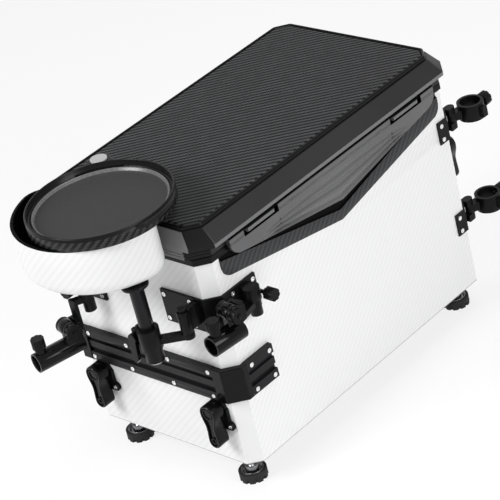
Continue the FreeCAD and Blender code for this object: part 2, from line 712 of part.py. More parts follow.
for name, (x, y, lever_z, end) in zip(LEG_CORNERS, LEGS):
    node("lock_lever_" + name, lock_lever(x, lever_z, end))
    node("leg_tube_" + name, leg(x, y))
    node("foot_plate_" + name, foot_plate(x, y))
    node("foot_pad_" + name, foot_pad(x, y))


# Lid. A skirt over the collar, a ledge over each flap, then slopes up to the seat.

ledge_half = half_width + s.ledge_side
skirt_half = half_width + s.lid_side
top_half = ledge_half - s.slope_side
top_end = lid_end - s.slope_end
top_corner = s.lid_corner - s.top_corner_less
tab_low = hinge_z - s.tab_drop_low
tab_inner = skirt_half - 2


def hinge_tab(side, middle):
    """A lug under the ledge that holds a flap's pin."""
    reach = hinge_x + s.flap_thick / 2 - tab_inner
    start = tab_inner if side > 0 else -(tab_inner + reach)
    return block(start, size(middle) - s.tab_length / 2, tab_low, reach, s.tab_length, ledge_low - tab_low + 1)


def hinge_pins(extra_radius, extra_length):
    """The four flap pins, or the bores round them."""
    pins = []
    for side in (1, -1):
        for end in (1, -1):
            length = s.tab_length + s.pin_run * 2 + extra_length
            pins.append(rod(side * hinge_x, end * s.tab_middle - length / 2, hinge_z, s.pin_radius + extra_radius,
                            length, "Y"))
    return group(pins)


lid_skirt = prism(octagon(skirt_half, lid_end, s.lid_corner), lid_low, s.skirt_height + 1)
lid_ledge = prism(octagon(ledge_half, lid_end, s.lid_corner), ledge_low, s.ledge_height)
lid_slope = taper(octagon(ledge_half, lid_end, s.lid_corner), octagon(top_half, top_end, top_corner),
                  ledge_top, s.slope_height)
lid_inside = prism(octagon(skirt_half - s.lid_wall, lid_end - s.lid_wall, inner_corner(s.lid_corner, s.lid_wall)),
                   lid_low - 1, s.skirt_height + s.ledge_height - 2)
lid_attic = taper(octagon(skirt_half - s.lid_wall, lid_end - s.lid_wall, inner_corner(s.lid_corner, s.lid_wall)),
                  octagon(top_half - s.lid_wall, top_end - s.lid_wall, inner_corner(top_corner, s.lid_wall)),
                  ledge_top - 4, s.slope_height + 4 - s.lid_roof)
tabs = [hinge_tab(side, end * s.tab_middle) for side in (1, -1) for end in (1, -1)]
post_hole = rod(ear_x, ear_y, lid_top - s.lid_roof - 3, s.bolt_radius + 0.1, s.lid_roof + 4)
panel_low = lid_top - s.lid_roof


def lid_plan(inset, low, height):
    """An outline under the seat, set in from the top's edge."""
    return prism(octagon(top_half - inset, top_end - inset, inner_corner(top_corner, inset)), low, height)


# The frame is made in two rings: a skirt with the lugs below the ledge, and the ledge with the slopes above it.
lid_frame = cut(join(lid_skirt, lid_ledge, lid_slope, *tabs), lid_inside, lid_attic, hinge_pins(0.05, 2),
                lid_plan(s.lid_wall, panel_low - 0.5, s.lid_roof + 1))
below_ledge = block(-(ledge_half + 5), -(lid_end + 5), lid_low - 5, (ledge_half + 5) * 2, (lid_end + 5) * 2,
                    ledge_low - lid_low + 5)
node("lid_shell", cut(lid_frame, below_ledge))
node("lid_shell_skirt", common(lid_frame, below_ledge))
# A flat panel fills the lid's frame and carries the seat.
node("lid_panel", cut(lid_plan(s.lid_wall + s.panel_gap, panel_low, s.lid_roof), post_hole))

bead_outer = octagon(top_half, top_end, top_corner)
bead_inner = octagon(top_half - s.bead_width, top_end - s.bead_width, inner_corner(top_corner, s.bead_width))
bead_slim = octagon(top_half - 2, top_end - 2, inner_corner(top_corner, 2))
node("lid_bead", cut(taper(bead_outer, bead_slim, lid_top, s.bead_height),
                     prism(bead_inner, lid_top - 1, s.bead_height + 2)))

# The seat pad is a thin firm cushion: upright sides, a drawn-in shoulder and a slight crown.
pad_inset = s.bead_width + s.pad_gap
pad_plan = octagon(top_half - pad_inset, top_end - pad_inset, inner_corner(top_corner, pad_inset))
pad_shoulder = octagon(top_half - pad_inset - s.pad_shoulder, top_end - pad_inset - s.pad_shoulder,
                       inner_corner(top_corner, pad_inset + s.pad_shoulder))
pad_base = prism(pad_plan, lid_top, s.pad_height - s.pad_shoulder)
pad_edge = taper(pad_plan, pad_shoulder, lid_top + s.pad_height - s.pad_shoulder, s.pad_shoulder)
crown_radius = (s.body_width * s.body_width) / (s.pad_crown * 8)
pad_crown = rod(0, -half_length - 50, seat_top - crown_radius, crown_radius, s.body_length + 100, "Y")
node("seat_pad", cut(common(join(pad_base, pad_edge), pad_crown),
                     rod(ear_x, ear_y, lid_top - 1, s.post_radius + 0.4, s.pad_height + 4)))


# Side flaps. Each hangs on its pins under the ledge. The right one latches the lid, the left one is its hinge.

def flap():
    inner = hinge_x - s.flap_thick / 2
    outer = hinge_x + s.flap_thick / 2
    points = [(-s.flap_reach, hinge_z), (s.flap_nip - s.flap_reach, rim - s.flap_end_drop),
              (0.01, rim - s.flap_mid_drop),
              (s.flap_reach - s.flap_nip, rim - s.flap_end_drop), (s.flap_reach, hinge_z)]
    slab = prism(points, inner, s.flap_thick, "YZ_Plane")
    roll = rod(hinge_x, -s.flap_reach, hinge_z, s.flap_thick / 2, s.flap_reach * 2, "Y")
    scoop_points = [(-s.scoop_reach, rim - s.scoop_top), (0.01, rim - s.scoop_bottom),
                    (s.scoop_reach, rim - s.scoop_top), (0.02, rim - s.scoop_top + s.scoop_rise)]
    scoop = prism(scoop_points, outer - s.scoop_depth, s.scoop_depth + 1, "YZ_Plane")
    gaps = []
    for end in (1, -1):
        room = s.tab_length + 2
        gaps.append(block(inner - 1, end * s.tab_middle - room / 2, hinge_z - 9, s.flap_thick + 2, room, 20))
    return cut(join(slab, roll), scoop, *gaps)


flap_right = cut(flap(), hinge_pins(s.pin_clear, 2))
node("side_flap_right", flap_right)
node("side_flap_left", mirrored(flap_right))
node("flap_pins", hinge_pins(0, 0))


# Bait bowl: a deep round bowl with a flat back that clears the lid, and a thin black liner in it.

bowl_low = s.bowl_top - s.bowl_height
bowl_back = -lid_end - s.bowl_gap


def bowl_solid(radius, low, back, rounding):
    """A rounded disc cut flat behind."""
    radius = size(radius)
    tall = s.bowl_top - low
    disc = rounded_disc(bowl_x, bowl_y, low, radius, tall, rounding)
    keep = block(bowl_x - radius - 1, bowl_y - radius - 1, size(low) - 1, radius * 2 + 2,
                 size(back) - bowl_y + radius + 1, tall + 2)
    return common(disc, keep)


def bowl_cavity(inset):
    rounding = s.bowl_round - inset
    radius = s.bowl_radius - inset
    low = bowl_low + inset
    disc = rounded_disc(bowl_x, bowl_y, low, radius, s.bowl_height + 5, rounding)
    keep = block(bowl_x - radius - 1, bowl_y - radius - 1, low - 1, radius * 2 + 2,
                 bowl_back - inset - bowl_y + radius + 1, s.bowl_height + 10)
    return common(disc, keep)


skin = s.bowl_wall + 0.3
node("bait_bowl", cut(bowl_solid(s.bowl_radius, bowl_low, bowl_back, s.bowl_round), bowl_cavity(s.bowl_wall)))
node("bowl_liner", cut(bowl_solid(s.bowl_radius - skin, bowl_low + skin, bowl_back - skin, s.bowl_round - skin),
                       bowl_cavity(skin + s.liner_skin)))

# Serving tray on a pivot at the lid's corner, covering the bowl: a shallow pan with a sloped lip and an ear.
tray_top = s.tray_low + s.tray_height
tray_inner = s.tray_radius - s.tray_edge
tray_body = rod(tray_x, tray_y, s.tray_low, s.tray_radius, s.tray_height)
tray_pan = join(cone(tray_x, tray_y, s.tray_low + s.tray_floor, tray_inner - s.tray_lip, tray_inner,
                     s.tray_height - s.tray_floor),
                rod(tray_x, tray_y, tray_top - 0.01, tray_inner, 2))
ear_low = s.tray_low + s.ear_lift
ear_height = s.ear_height


def ear_plate():
    """The plate from the tray's wall to the ear, drawn between two circles."""
    toward_x = ear_x - tray_x
    toward_y = ear_y - tray_y
    reach = math.hypot(float(toward_x), float(toward_y))
    across_x, across_y = -toward_y / reach, toward_x / reach
    root_x = tray_x + toward_x * 0.72
    root_y = tray_y + toward_y * 0.72
    points = [(root_x + across_x * s.ear_spread, root_y + across_y * s.ear_spread),
              (ear_x + across_x * s.ear_radius, ear_y + across_y * s.ear_radius),
              (ear_x - across_x * s.ear_radius, ear_y - across_y * s.ear_radius),
              (root_x - across_x * s.ear_spread, root_y - across_y * s.ear_spread)]
    return prism(points, ear_low, ear_height)


ear = join(ear_plate(), rod(ear_x, ear_y, ear_low, s.ear_radius, ear_height))
tab_points = []
for turn, share in ((-18, 0.98), (-13, 1.07), (-4, 1.075), (5, 1.075), (14, 1.07), (24, 1.05), (38, 0.98)):
    tab_points.append((tray_x + s.tray_radius * share * math.cos(math.radians(turn)),
                       tray_y + s.tray_radius * share * math.sin(math.radians(turn))))
pull_tab = prism(tab_points, tray_top - s.tab_drop, s.tab_drop - s.tab_step)
node("serving_tray", cut(join(tray_body, ear, pull_tab), tray_pan,
                         rod(ear_x, ear_y, ear_low - 1, s.pivot_radius + s.pin_clear, ear_height + 2)))
node("tray_cap", rod(ear_x, ear_y, ear_low + ear_height, s.cap_radius, s.cap_height))
node("tray_pivot", join(rod(ear_x, ear_y, lid_top, s.post_radius, ear_low - lid_top - s.post_gap),
                        rod(ear_x, ear_y, ear_low - 1, s.pivot_radius, ear_height + 0.7)))

# The bowl's pole slides in a clamp, and the clamp's arm swings on the bracket's socket.
pole_height = bowl_low - s.pole_low
node("bowl_pole", join(rod(pole_x, pole_y, s.pole_low, s.pole_radius, pole_height),
                       rod(pole_x, pole_y, bowl_low - s.pole_flange_height, s.pole_radius + s.pole_flange, s.pole_flange_height)))
clamp_radius = s.pole_radius + s.pole_clear + s.clamp_wall
tube_low = s.clamp_low - s.sleeve_tube
lug_x = pole_x - clamp_radius - s.clamp_lug + s.clamp_wall
lug_half = s.clamp_lug_thick / 2
clamp_body = join(rod(pole_x, pole_y, s.clamp_low, clamp_radius, s.clamp_height),
                  rod(pole_x, pole_y, tube_low, clamp_radius - s.clamp_wall / 2, s.sleeve_tube + 1),
                  block(lug_x, pole_y - lug_half, s.clamp_low + 4, s.clamp_lug, s.clamp_lug_thick,
                        s.clamp_height - 8))
lever_x = lug_x + 4
lever_z = s.clamp_low + s.clamp_height / 2
clamp_bore = rod(pole_x, pole_y, tube_low - 1, s.pole_radius + s.pole_clear, s.clamp_height + s.sleeve_tube + 2)
clamp_slit = block(lug_x - 1, pole_y - s.clamp_slit / 2, s.clamp_low + 3, s.clamp_lug, s.clamp_slit,
                   s.clamp_height - 6)
clamp_bolt_hole = rod(lever_x, pole_y - lug_half - 1, lever_z, s.bolt_radius + s.bolt_clear, s.clamp_lug_thick + 2,
                      "Y")
node("pole_clamp", cut(clamp_body, clamp_bore, clamp_slit, clamp_bolt_hole))
lever_back = pole_y - lug_half - s.clamp_lever_depth - 0.4
lever_tip = lever_z - s.clamp_lever_length
grip_points = [(lever_x - 6.5, lever_z), (lever_x - 9, lever_tip + 4), (lever_x - 3, lever_tip),
               (lever_x + 2, lever_tip + 6), (lever_x + 6.5, lever_z)]
clamp_bolt = rod(lever_x, lever_back, lever_z, s.bolt_radius, s.clamp_lug_thick + s.clamp_lever_depth + 1.4, "Y")
clamp_lever = join(clamp_bolt, rod(lever_x, lever_back, lever_z, s.clamp_hub, s.clamp_lever_depth, "Y"),
                   prism(grip_points, lever_back + s.clamp_lever_depth, s.clamp_lever_depth, "XZ_Plane"),
                   rod(lever_x, pole_y + lug_half + 0.6, lever_z, s.clamp_hub - 1, 3, "Y"))
node("clamp_lever", clamp_lever)


def bowl_arm():
    """The arm from the clamp to the socket, with the pin that turns in it."""
    low = s.socket_low - s.arm_height - s.arm_gap
    toward_x, toward_y = socket_x - pole_x, socket_y - pole_y
    reach = math.hypot(float(toward_x), float(toward_y))
    half = s.arm_half
    across_x, across_y = -toward_y / reach, toward_x / reach
    start_x = pole_x + toward_x * 0.24
    start_y = pole_y + toward_y * 0.24
    points = [(start_x + across_x * half, start_y + across_y * half),
              (socket_x + across_x * half, socket_y + across_y * half),
              (socket_x - across_x * half, socket_y - across_y * half),
              (start_x - across_x * half, start_y - across_y * half)]
    bar = prism(points, low, s.arm_height)
    eye = rod(socket_x, socket_y, low, s.socket_radius, s.arm_height)
    pin = rod(socket_x, socket_y, low, s.socket_pin, s.arm_height + s.socket_height + 1.5)
    head = rod(socket_x, socket_y, s.socket_low + s.socket_height + s.pin_head / 10, s.socket_radius - 2, s.pin_head)
    return cut(join(bar, eye, pin, head), rod(pole_x, pole_y, low - 1, clamp_radius + 0.05, s.arm_height + 2))


node("link_arm", bowl_arm())


# Rod rests. Each is drawn round its drum's middle and then turned and set down.

cheek_in = s.drum_width / 2 + s.cheek_gap
cheek_out = cheek_in + s.cheek_thick
knob_start = cheek_out + s.knob_gap


def rod_tube(length, ahead, aside):
    """A tube under a drum lug, some way ahead and aside of the drum. The tube's bore is where the rod goes."""
    mouth = -ahead - length / 2
    drum = rod(-s.drum_width / 2, 0, 0, s.drum_radius, s.drum_width, "X")
    neck = block(-s.neck_width / 2, -s.neck_length / 2, 6 - s.rod_drop, s.neck_width, s.neck_length, s.rod_drop - 6)
    tube = rod(-aside, mouth, -s.rod_drop, s.rod_tube_radius, length, "Y")
    bore = rod(-aside, mouth - 1, -s.rod_drop, s.rod_bore, length + 2, "Y")
    bolt_hole = rod(-s.drum_width, 0, 0, s.bolt_radius + s.bolt_clear, s.drum_width * 2, "X")
    boss = rod(-aside, mouth + s.knob_back, -s.rod_drop + s.rod_bore + 1, s.boss_radius, s.boss_height)
    stem_hole = rod(-aside, mouth + s.knob_back, -s.rod_drop, s.bolt_radius + s.bolt_clear, 30)
    return cut(join(drum, neck, tube, boss), bore, bolt_hole, stem_hole)


def rod_knob(length, ahead, aside):
    """A grip above the tube's mouth, on a stem that ends flush with the bore."""
    stem_low = -s.rod_drop + s.rod_bore + 0.4
    grip_low = -s.rod_drop + s.rod_bore + s.boss_height + 1.6
    x = -aside
    y = s.knob_back - ahead - length / 2
    grip = cut(rod(x, y, grip_low, s.knob_radius - 2, s.knob_height - 1), group(
        [rod(x + (s.knob_radius - 1) * math.cos(a), y + (s.knob_radius - 1) * math.sin(a), grip_low - 1, s.flute_radius,
             s.knob_height + 2) for a in [2 * math.pi * n / 8 for n in range(8)]]))
    return join(rod(x, y, stem_low, s.bolt_radius, grip_low - stem_low + 1), grip)


def tilt_knob():
    """The round faceted knob on the drum's bolt, with its washer and head."""
    bolt = rod(-knob_start, 0, 0, s.bolt_radius, knob_start * 2, "X")
    head = rod(-cheek_out - s.bolt_head_height - 0.4, 0, 0, s.bolt_head, s.bolt_head_height, "X")
    ring = s.knob_radius + 1
    grip = cut(rod(knob_start, 0, 0, s.knob_radius, s.tilt_knob_length, "X"), group(
        [rod(knob_start - 1, ring * math.cos(a), ring * math.sin(a), s.flute_radius, s.tilt_knob_length + 3, "X")
         for a in [2 * math.pi * n / 9 for n in range(9)]]))
    screw = rod(knob_start + s.tilt_knob_length - 0.1, 0, 0, s.bolt_head - 2, 1.6, "X")
    return join(bolt, head, grip, screw)


def rod_arm(pivot_x, pivot_y, pivot_low, drum_x, drum_y, level, yaw):
    """Two cheeks round the drum, a bar and a barrel that turns on the bracket's pin."""
    cheeks = []
    for start in (cheek_in, -cheek_out):
        cheeks.append(rod(start, 0, 0, s.drum_radius, s.cheek_thick, "X"))
    low = -s.bridge_height / 2
    bridge = block(-cheek_out, s.drum_radius + s.bridge_gap, low, cheek_out * 2, s.bridge_thick, s.bridge_height)
    ties = [block(start, 0, low, s.cheek_thick, s.drum_radius + 2, s.bridge_height)
            for start in (cheek_in, -cheek_out)]
    bolt_hole = rod(-cheek_out - 1, 0, 0, s.bolt_radius + s.bolt_clear, cheek_out * 2 + 2, "X")
    fork = turned(cut(join(*cheeks, bridge, *ties), bolt_hole), drum_x, drum_y, level, yaw)
    barrel_top = size(pivot_low) - s.barrel_clear
    barrel = rod(pivot_x, pivot_y, barrel_top - s.barrel_height, s.barrel_radius, s.barrel_height)
    toward = math.radians(float(yaw))
    bar_end_x = drum_x - (s.drum_radius + 7) * math.sin(toward)
    bar_end_y = drum_y + (s.drum_radius + 7) * math.cos(toward)
    bar = prism([(size(pivot_x) - 6, pivot_y), (bar_end_x - 6, bar_end_y), (bar_end_x + 6, bar_end_y),
                 (size(pivot_x) + 6, pivot_y)], barrel_top - s.arm_bar, s.arm_bar)
    post_low = barrel_top - s.arm_bar if float(level) > float(barrel_top) else level - 6
    post_top = level + 6 if float(level) > float(barrel_top) else barrel_top
    post = block(bar_end_x - 6, bar_end_y - 3, post_low, 12, 6, post_top - post_low)
    return cut(join(fork, barrel, bar, post),
               rod(pivot_x, pivot_y, barrel_top - s.barrel_height - 1, s.bolt_radius + s.bolt_clear,
                   s.barrel_height + 3))


for side, pivot_x, pivot_y, pivot_low, drum_x, drum_y, level, length, ahead, aside in (
        ("right", right_pivot_x, right_pivot_y, right_pivot_low, right_drum_x, right_drum_y,
         s.right_level, s.right_tube_length, s.right_tube_ahead, s.right_tube_aside),
        ("left", left_pivot_x, left_pivot_y, left_pivot_low, left_drum_x, left_drum_y,
         s.left_level, s.left_tube_length, s.left_tube_ahead, s.left_tube_aside)):
    yaw = VALUES[side + "_yaw"]
    node("rod_arm_" + side, rod_arm(pivot_x, pivot_y, pivot_low, drum_x, drum_y, level, yaw))
    node("rod_tube_" + side, turned(rod_tube(length, ahead, aside), drum_x, drum_y, level, yaw))
    node("rod_knob_" + side, turned(rod_knob(length, ahead, aside), drum_x, drum_y, level, yaw))
    node("tilt_knob_" + side, turned(tilt_knob(), drum_x, drum_y, level, yaw))


def arm_knob(pivot_x, pivot_y, level, facing):
    """The knob beside an arm's pivot, on a stem that stands out from the bracket's plate."""
    if facing == "right":
        start = half_width + s.bracket_thick + 0.3
        y = pivot_y + s.right_arm_knob_aside
        return join(rod(start, y, level, s.bolt_radius, s.arm_knob_reach + 1, "X"),
                    fluted(start + s.arm_knob_reach, y, level, "X"))
    x = pivot_x - s.left_arm_knob_aside
    start = -half_length - s.bracket_thick - 0.3 - s.arm_knob_reach
    return join(rod(x, start - 1, level, s.bolt_radius, s.arm_knob_reach + 1, "Y"),
                fluted(x, start - s.arm_knob_length, level, "Y"))


def fluted(x, y, z, along):
    """A round grip with eight flutes cut along it."""
    grips = []
    for number in range(8):
        angle = math.pi / 4 * number
        step_a = (s.arm_knob_radius + 1) * math.cos(angle)
        step_b = (s.arm_knob_radius + 1) * math.sin(angle)
        if along == "X":
            grips.append(rod(x - 1, y + step_a, z + step_b, s.flute_radius, s.arm_knob_length + 2, along))
        else:
            grips.append(rod(x + step_a, y - 1, z + step_b, s.flute_radius, s.arm_knob_length + 2, along))
    return cut(rod(x, y, z, s.arm_knob_radius, s.arm_knob_length, along), group(grips))


node("arm_knob_right", arm_knob(right_pivot_x, right_pivot_y, s.right_arm_knob_level, "right"))
node("arm_knob_left", arm_knob(left_pivot_x, left_pivot_y, s.left_arm_knob_level, "front"))


# Parasol pole clamps: a ring on a hinged lug, and a knob whose screw presses on the pole.

def pole_ring(level):
    outer = s.ring_bore + s.ring_wall
    low = level - s.ring_height / 2
    ring = rod(ring_x, ring_y, low, outer, s.ring_height)
    lug_low = level - s.ring_lug_half + s.ring_lug_gap
    lug_tall = 2 * s.ring_lug_half - 2 * s.ring_lug_gap
    lug = rod(ring_hinge_x, ring_hinge_y, lug_low, s.knuckle_radius, lug_tall)
    bar = prism([(ring_hinge_x - 6, ring_hinge_y + 1), (ring_hinge_x + 6, ring_hinge_y - 1),
                 (ring_x + 4, ring_y - 8), (ring_x - 14, ring_y)], lug_low, lug_tall)
    side_lug = block(ring_x + outer - 2, ring_y - 5, level - 8, 9, 10, 16)
    boss = rod(ring_x, ring_y + outer - 2, level, 7, 6, "Y")
    return cut(join(ring, lug, bar, side_lug, boss), rod(ring_x, ring_y, low - 1, s.ring_bore, s.ring_height + 2),
               rod(ring_hinge_x, ring_hinge_y, lug_low - 1, s.bolt_radius + s.bolt_clear, lug_tall + 2),
               rod(ring_x, ring_y, level, s.bolt_radius + s.bolt_clear, outer + 10, "Y"))


def ring_knob(level):
    outer = s.ring_bore + s.ring_wall
    grip_y = ring_y + outer + s.ring_knob_gap
    grip = cut(rod(ring_x, grip_y, level, s.knob_radius - 1, s.ring_knob_length, "Y"), group(
        [rod(ring_x + s.knob_radius * math.cos(a), grip_y - 1, level + s.knob_radius * math.sin(a), s.flute_radius,
             s.ring_knob_length + 2, "Y")
         for a in [2 * math.pi * n / 8 for n in range(8)]]))
    stem = rod(ring_x, ring_y + s.ring_bore + 0.3, level, s.bolt_radius, s.ring_wall + 6, "Y")
    return join(stem, grip)


for name, level in (("upper", s.ring_high), ("lower", s.ring_lower)):
    node("pole_ring_" + name, pole_ring(level))
    node("ring_knob_" + name, ring_knob(level))


doc.recompute()
for thing in doc.Objects:
    if "Invalid" in thing.State or "Error" in thing.State:
        raise RuntimeError("object " + thing.Name + " (" + thing.Label + ") did not build")
for thing in nodes:
    if thing.Shape.isNull() or not thing.Shape.isValid() or not thing.Shape.Solids:
        raise RuntimeError("sub-part " + thing.Label + " has no valid shape")
os.makedirs("parts", exist_ok=True)
for thing in nodes:
    thing.Shape.exportStep("parts/" + thing.Label + ".step")
print(len(nodes), "sub-parts written")
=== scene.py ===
import math

import bmesh
import bpy
from mathutils import Matrix, Vector


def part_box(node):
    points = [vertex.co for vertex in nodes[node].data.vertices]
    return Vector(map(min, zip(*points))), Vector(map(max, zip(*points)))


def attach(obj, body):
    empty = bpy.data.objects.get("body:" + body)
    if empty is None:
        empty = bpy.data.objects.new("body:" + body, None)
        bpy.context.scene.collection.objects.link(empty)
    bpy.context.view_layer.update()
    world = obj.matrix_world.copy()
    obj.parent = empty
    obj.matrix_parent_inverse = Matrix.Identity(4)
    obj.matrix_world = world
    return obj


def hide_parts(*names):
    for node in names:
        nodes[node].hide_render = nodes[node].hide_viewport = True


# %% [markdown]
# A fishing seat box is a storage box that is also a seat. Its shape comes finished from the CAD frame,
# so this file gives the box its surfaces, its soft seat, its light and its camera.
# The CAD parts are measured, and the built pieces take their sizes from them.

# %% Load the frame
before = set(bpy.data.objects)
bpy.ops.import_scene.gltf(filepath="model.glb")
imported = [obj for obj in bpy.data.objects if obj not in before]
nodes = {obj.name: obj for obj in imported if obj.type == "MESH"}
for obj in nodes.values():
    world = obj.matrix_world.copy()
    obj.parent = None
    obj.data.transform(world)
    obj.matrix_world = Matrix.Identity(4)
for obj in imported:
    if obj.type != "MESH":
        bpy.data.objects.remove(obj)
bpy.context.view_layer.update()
MM = 0.001

# %% [markdown]
# Every surface here is a small network of nodes, and most of them need the same few sums: a stripe is a
# sine, an edge is a comparison, a blend is a mix. A little helper that writes those sums keeps each
# material readable. It works in object coordinates, so a pattern stays on its piece when a joint moves.


# %% A helper that writes material nodes
class Finish:
    """A material whose nodes are added one sum at a time."""

    def __init__(self, name, metal=0.0, specular=0.5, coat=0.0, coat_roughness=0.1):
        self.material = bpy.data.materials.new(name)
        self.material.use_nodes = True
        self.tree = self.material.node_tree
        self.shader = self.tree.nodes["Principled BSDF"]
        self.shader.inputs["Metallic"].default_value = metal
        self.shader.inputs["Specular IOR Level"].default_value = specular
        self.shader.inputs["Coat Weight"].default_value = coat
        self.shader.inputs["Coat Roughness"].default_value = coat_roughness
        here = self.tree.nodes.new("ShaderNodeTexCoord")
        self.place = here.outputs["Object"]
        self.facing = here.outputs["Normal"]

    def put(self, socket, value):
        if isinstance(value, bpy.types.NodeSocket):
            self.tree.links.new(value, socket)
        else:
            socket.default_value = value

    def sum(self, operation, *values):
        """One Math node."""
        node = self.tree.nodes.new("ShaderNodeMath")
        node.operation = operation
        for socket, value in zip(node.inputs, values):
            self.put(socket, value)
        return node.outputs[0]

    def split(self, vector):
        node = self.tree.nodes.new("ShaderNodeSeparateXYZ")
        self.put(node.inputs[0], vector)
        return node.outputs[0], node.outputs[1], node.outputs[2]

    def mix(self, share, low, high):
        """A colour between two colours."""
        node = self.tree.nodes.new("ShaderNodeMix")
        node.data_type = "RGBA"
        self.put(node.inputs[0], share)
        for socket, value in ((node.inputs[6], low), (node.inputs[7], high)):
            self.put(socket, value if isinstance(value, bpy.types.NodeSocket) else (*value, 1))
        return node.outputs[2]

    def blend(self, share, low, high):
        """A number between two numbers."""
        node = self.tree.nodes.new("ShaderNodeMix")
        self.put(node.inputs[0], share)
        self.put(node.inputs[2], low)
        self.put(node.inputs[3], high)
        return node.outputs[0]

    def noise(self, scale, detail=3.0, stretch=(1, 1, 1)):
        """Even clouds, as numbers round a half."""
        move = self.tree.nodes.new("ShaderNodeMapping")
        self.put(move.inputs[0], self.place)
        move.inputs[3].default_value = stretch
        node = self.tree.nodes.new("ShaderNodeTexNoise")
        self.put(node.inputs["Vector"], move.outputs[0])
        node.inputs["Scale"].default_value = scale
        node.inputs["Detail"].default_value = detail
        return node.outputs["Fac"]

    def bump(self, height, depth_mm, strength=1.0):
        node = self.tree.nodes.new("ShaderNodeBump")
        self.put(node.inputs["Height"], height)
        node.inputs["Distance"].default_value = depth_mm * MM
        node.inputs["Strength"].default_value = strength
        self.tree.links.new(node.outputs[0], self.shader.inputs["Normal"])

    def colour(self, value):
        self.put(self.shader.inputs["Base Color"], value)

    def roughness(self, value):
        self.put(self.shader.inputs["Roughness"], value)


print("finish helper ready")

# %% [markdown]
# A twill weave is made of flat bundles of fibre, each passing over two and under two, one step further
# along in every row. That step is what draws the diagonal lines. Counting bundles both ways and taking the
# difference by fours says which of the two lies on top, and that gives the real cloth's pattern at its real
# size. A picture of cloth would need coordinates laid out on every piece, and would blur close up.


# %% The twill weave
def twill(finish, along, up, bundle):
    """Which bundle is on top, 0 or 1, and the height of its rounded back."""
    column = finish.sum("DIVIDE", along, bundle * MM)
    row = finish.sum("DIVIDE", up, bundle * MM)
    step = finish.sum("SUBTRACT", finish.sum("FLOOR", column), finish.sum("FLOOR", row))
    over = finish.sum("LESS_THAN", finish.sum("FLOORED_MODULO", step, 4.0), 2.0)
    backs = []
    for place in (row, column):
        across = finish.sum("MULTIPLY", finish.sum("FRACT", place), math.pi)
        backs.append(finish.sum("SINE", across))
    return over, finish.blend(over, *backs)


CORNER_SLANT = 0.35


def wall_run(finish):
    """How far along a wall a point lies, X on the ends and Y on the sides, and 1 on a corner's wall."""
    x, y, z = finish.split(finish.place)
    nx, ny, nz = [finish.sum("ABSOLUTE", n) for n in finish.split(finish.facing)]
    on_side = finish.sum("GREATER_THAN", nx, ny)
    slanted = [finish.sum("GREATER_THAN", part, CORNER_SLANT) for part in (nx, ny)]
    corner = finish.sum("MULTIPLY", *slanted)
    return finish.blend(on_side, x, y), z, corner, nz


WEAVE_BUNDLE = 3.0
print("twill bundle", WEAVE_BUNDLE, "mm")

# %% [markdown]
# The white body and the bowl are laminate with a woven face under clear lacquer. White cloth shows its
# weave only as pale grey lines, so the two bundle colours are close together, and a thin coat gives the
# gloss. The body's cut corners are drawn as smooth strips, a little greyer than the walls, as painted shade.

# %% White laminate
BUNDLE_LIGHT = (0.90, 0.90, 0.90)
BUNDLE_DARK = (0.85, 0.85, 0.853)
PAINTED_CORNER_SHADE = (0.80, 0.80, 0.805)
LEVEL_GREY = (0.8, 0.8, 0.8)
EDGE_GREY = (0.45, 0.45, 0.46)


def white_laminate(name, low_edge, high_edge, round_middle=None, shade=1.0):
    finish = Finish(name, specular=0.4, coat=0.3, coat_roughness=0.08)
    if round_middle is None:
        along, up, corner, level = wall_run(finish)
    else:
        x, y, up = finish.split(finish.place)
        turn = finish.sum("ARCTAN2", finish.sum("SUBTRACT", y, round_middle[1]),
                          finish.sum("SUBTRACT", x, round_middle[0]))
        along = finish.sum("MULTIPLY", turn, round_middle[2])
        corner, level = 0.0, finish.sum("ABSOLUTE", finish.split(finish.facing)[2])
    over, back = twill(finish, along, up, WEAVE_BUNDLE)
    cloud = finish.noise(9.0, 2.0)
    # A shade below 1 darkens both bundle colours, as painted shade.
    pale, grey = [tuple(shade * part for part in bundle) for bundle in (BUNDLE_LIGHT, BUNDLE_DARK)]
    weave = finish.mix(over, grey, pale)
    weave = finish.mix(finish.sum("MULTIPLY", cloud, 0.25), weave, grey)
    # The cut corners' walls are plain grey in place of the weave, as painted shade.
    smooth = finish.mix(corner, weave, PAINTED_CORNER_SHADE)
    edge = finish.sum("ADD", finish.sum("LESS_THAN", up, low_edge), finish.sum("GREATER_THAN", up, high_edge))
    flat = finish.sum("GREATER_THAN", level, 0.8)
    smooth = finish.mix(finish.sum("MULTIPLY", flat, 0.6), smooth, LEVEL_GREY)
    finish.colour(finish.mix(edge, smooth, EDGE_GREY))
    finish.roughness(finish.blend(cloud, 0.28, 0.40))
    finish.bump(back, 0.04, 0.3)
    return finish.material


shell_low, shell_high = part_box("body_shell")
bowl_low, bowl_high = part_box("bait_bowl")
bowl_middle = ((bowl_low.x + bowl_high.x) / 2, bowl_high.y, (bowl_high.x - bowl_low.x) / 2)
white_wall = white_laminate("white_wall", shell_low.z + 1.2 * MM, shell_high.z + 1)
# The bowl takes the body's laminate drawn 8% darker, as painted shade.
white_bowl = white_laminate("white_bowl", bowl_low.z - 1, bowl_high.z - 0.9 * MM, bowl_middle, 0.92)
print("bowl radius", round(bowl_middle[2], 4))

# %% [markdown]
# The trim on the body's sides and the tray's skirt are dark laminate: the same cloth in black fibre, where
# one bundle catches the light and the next doesn't. The tray mixes three finishes by where each face points
# and how high it lies: woven skirt, polished lip, drawn paler partly as a painted highlight, and fine-grained
# floor.

# %% Dark laminate
FIBRE_LIGHT = (0.050, 0.051, 0.053)
FIBRE_DARK = (0.028, 0.028, 0.030)


def dark_laminate(name):
    finish = Finish(name, specular=0.15, coat=0.1, coat_roughness=0.15)
    along, up, corner, level = wall_run(finish)
    over, back = twill(finish, along, up, WEAVE_BUNDLE)
    finish.colour(finish.mix(over, FIBRE_DARK, FIBRE_LIGHT))
    finish.roughness(finish.blend(finish.noise(30.0), 0.32, 0.5))
    finish.bump(back, 0.08, 0.6)
    return finish.material


dark_trim = dark_laminate("dark_trim")
print("made", dark_trim.name)

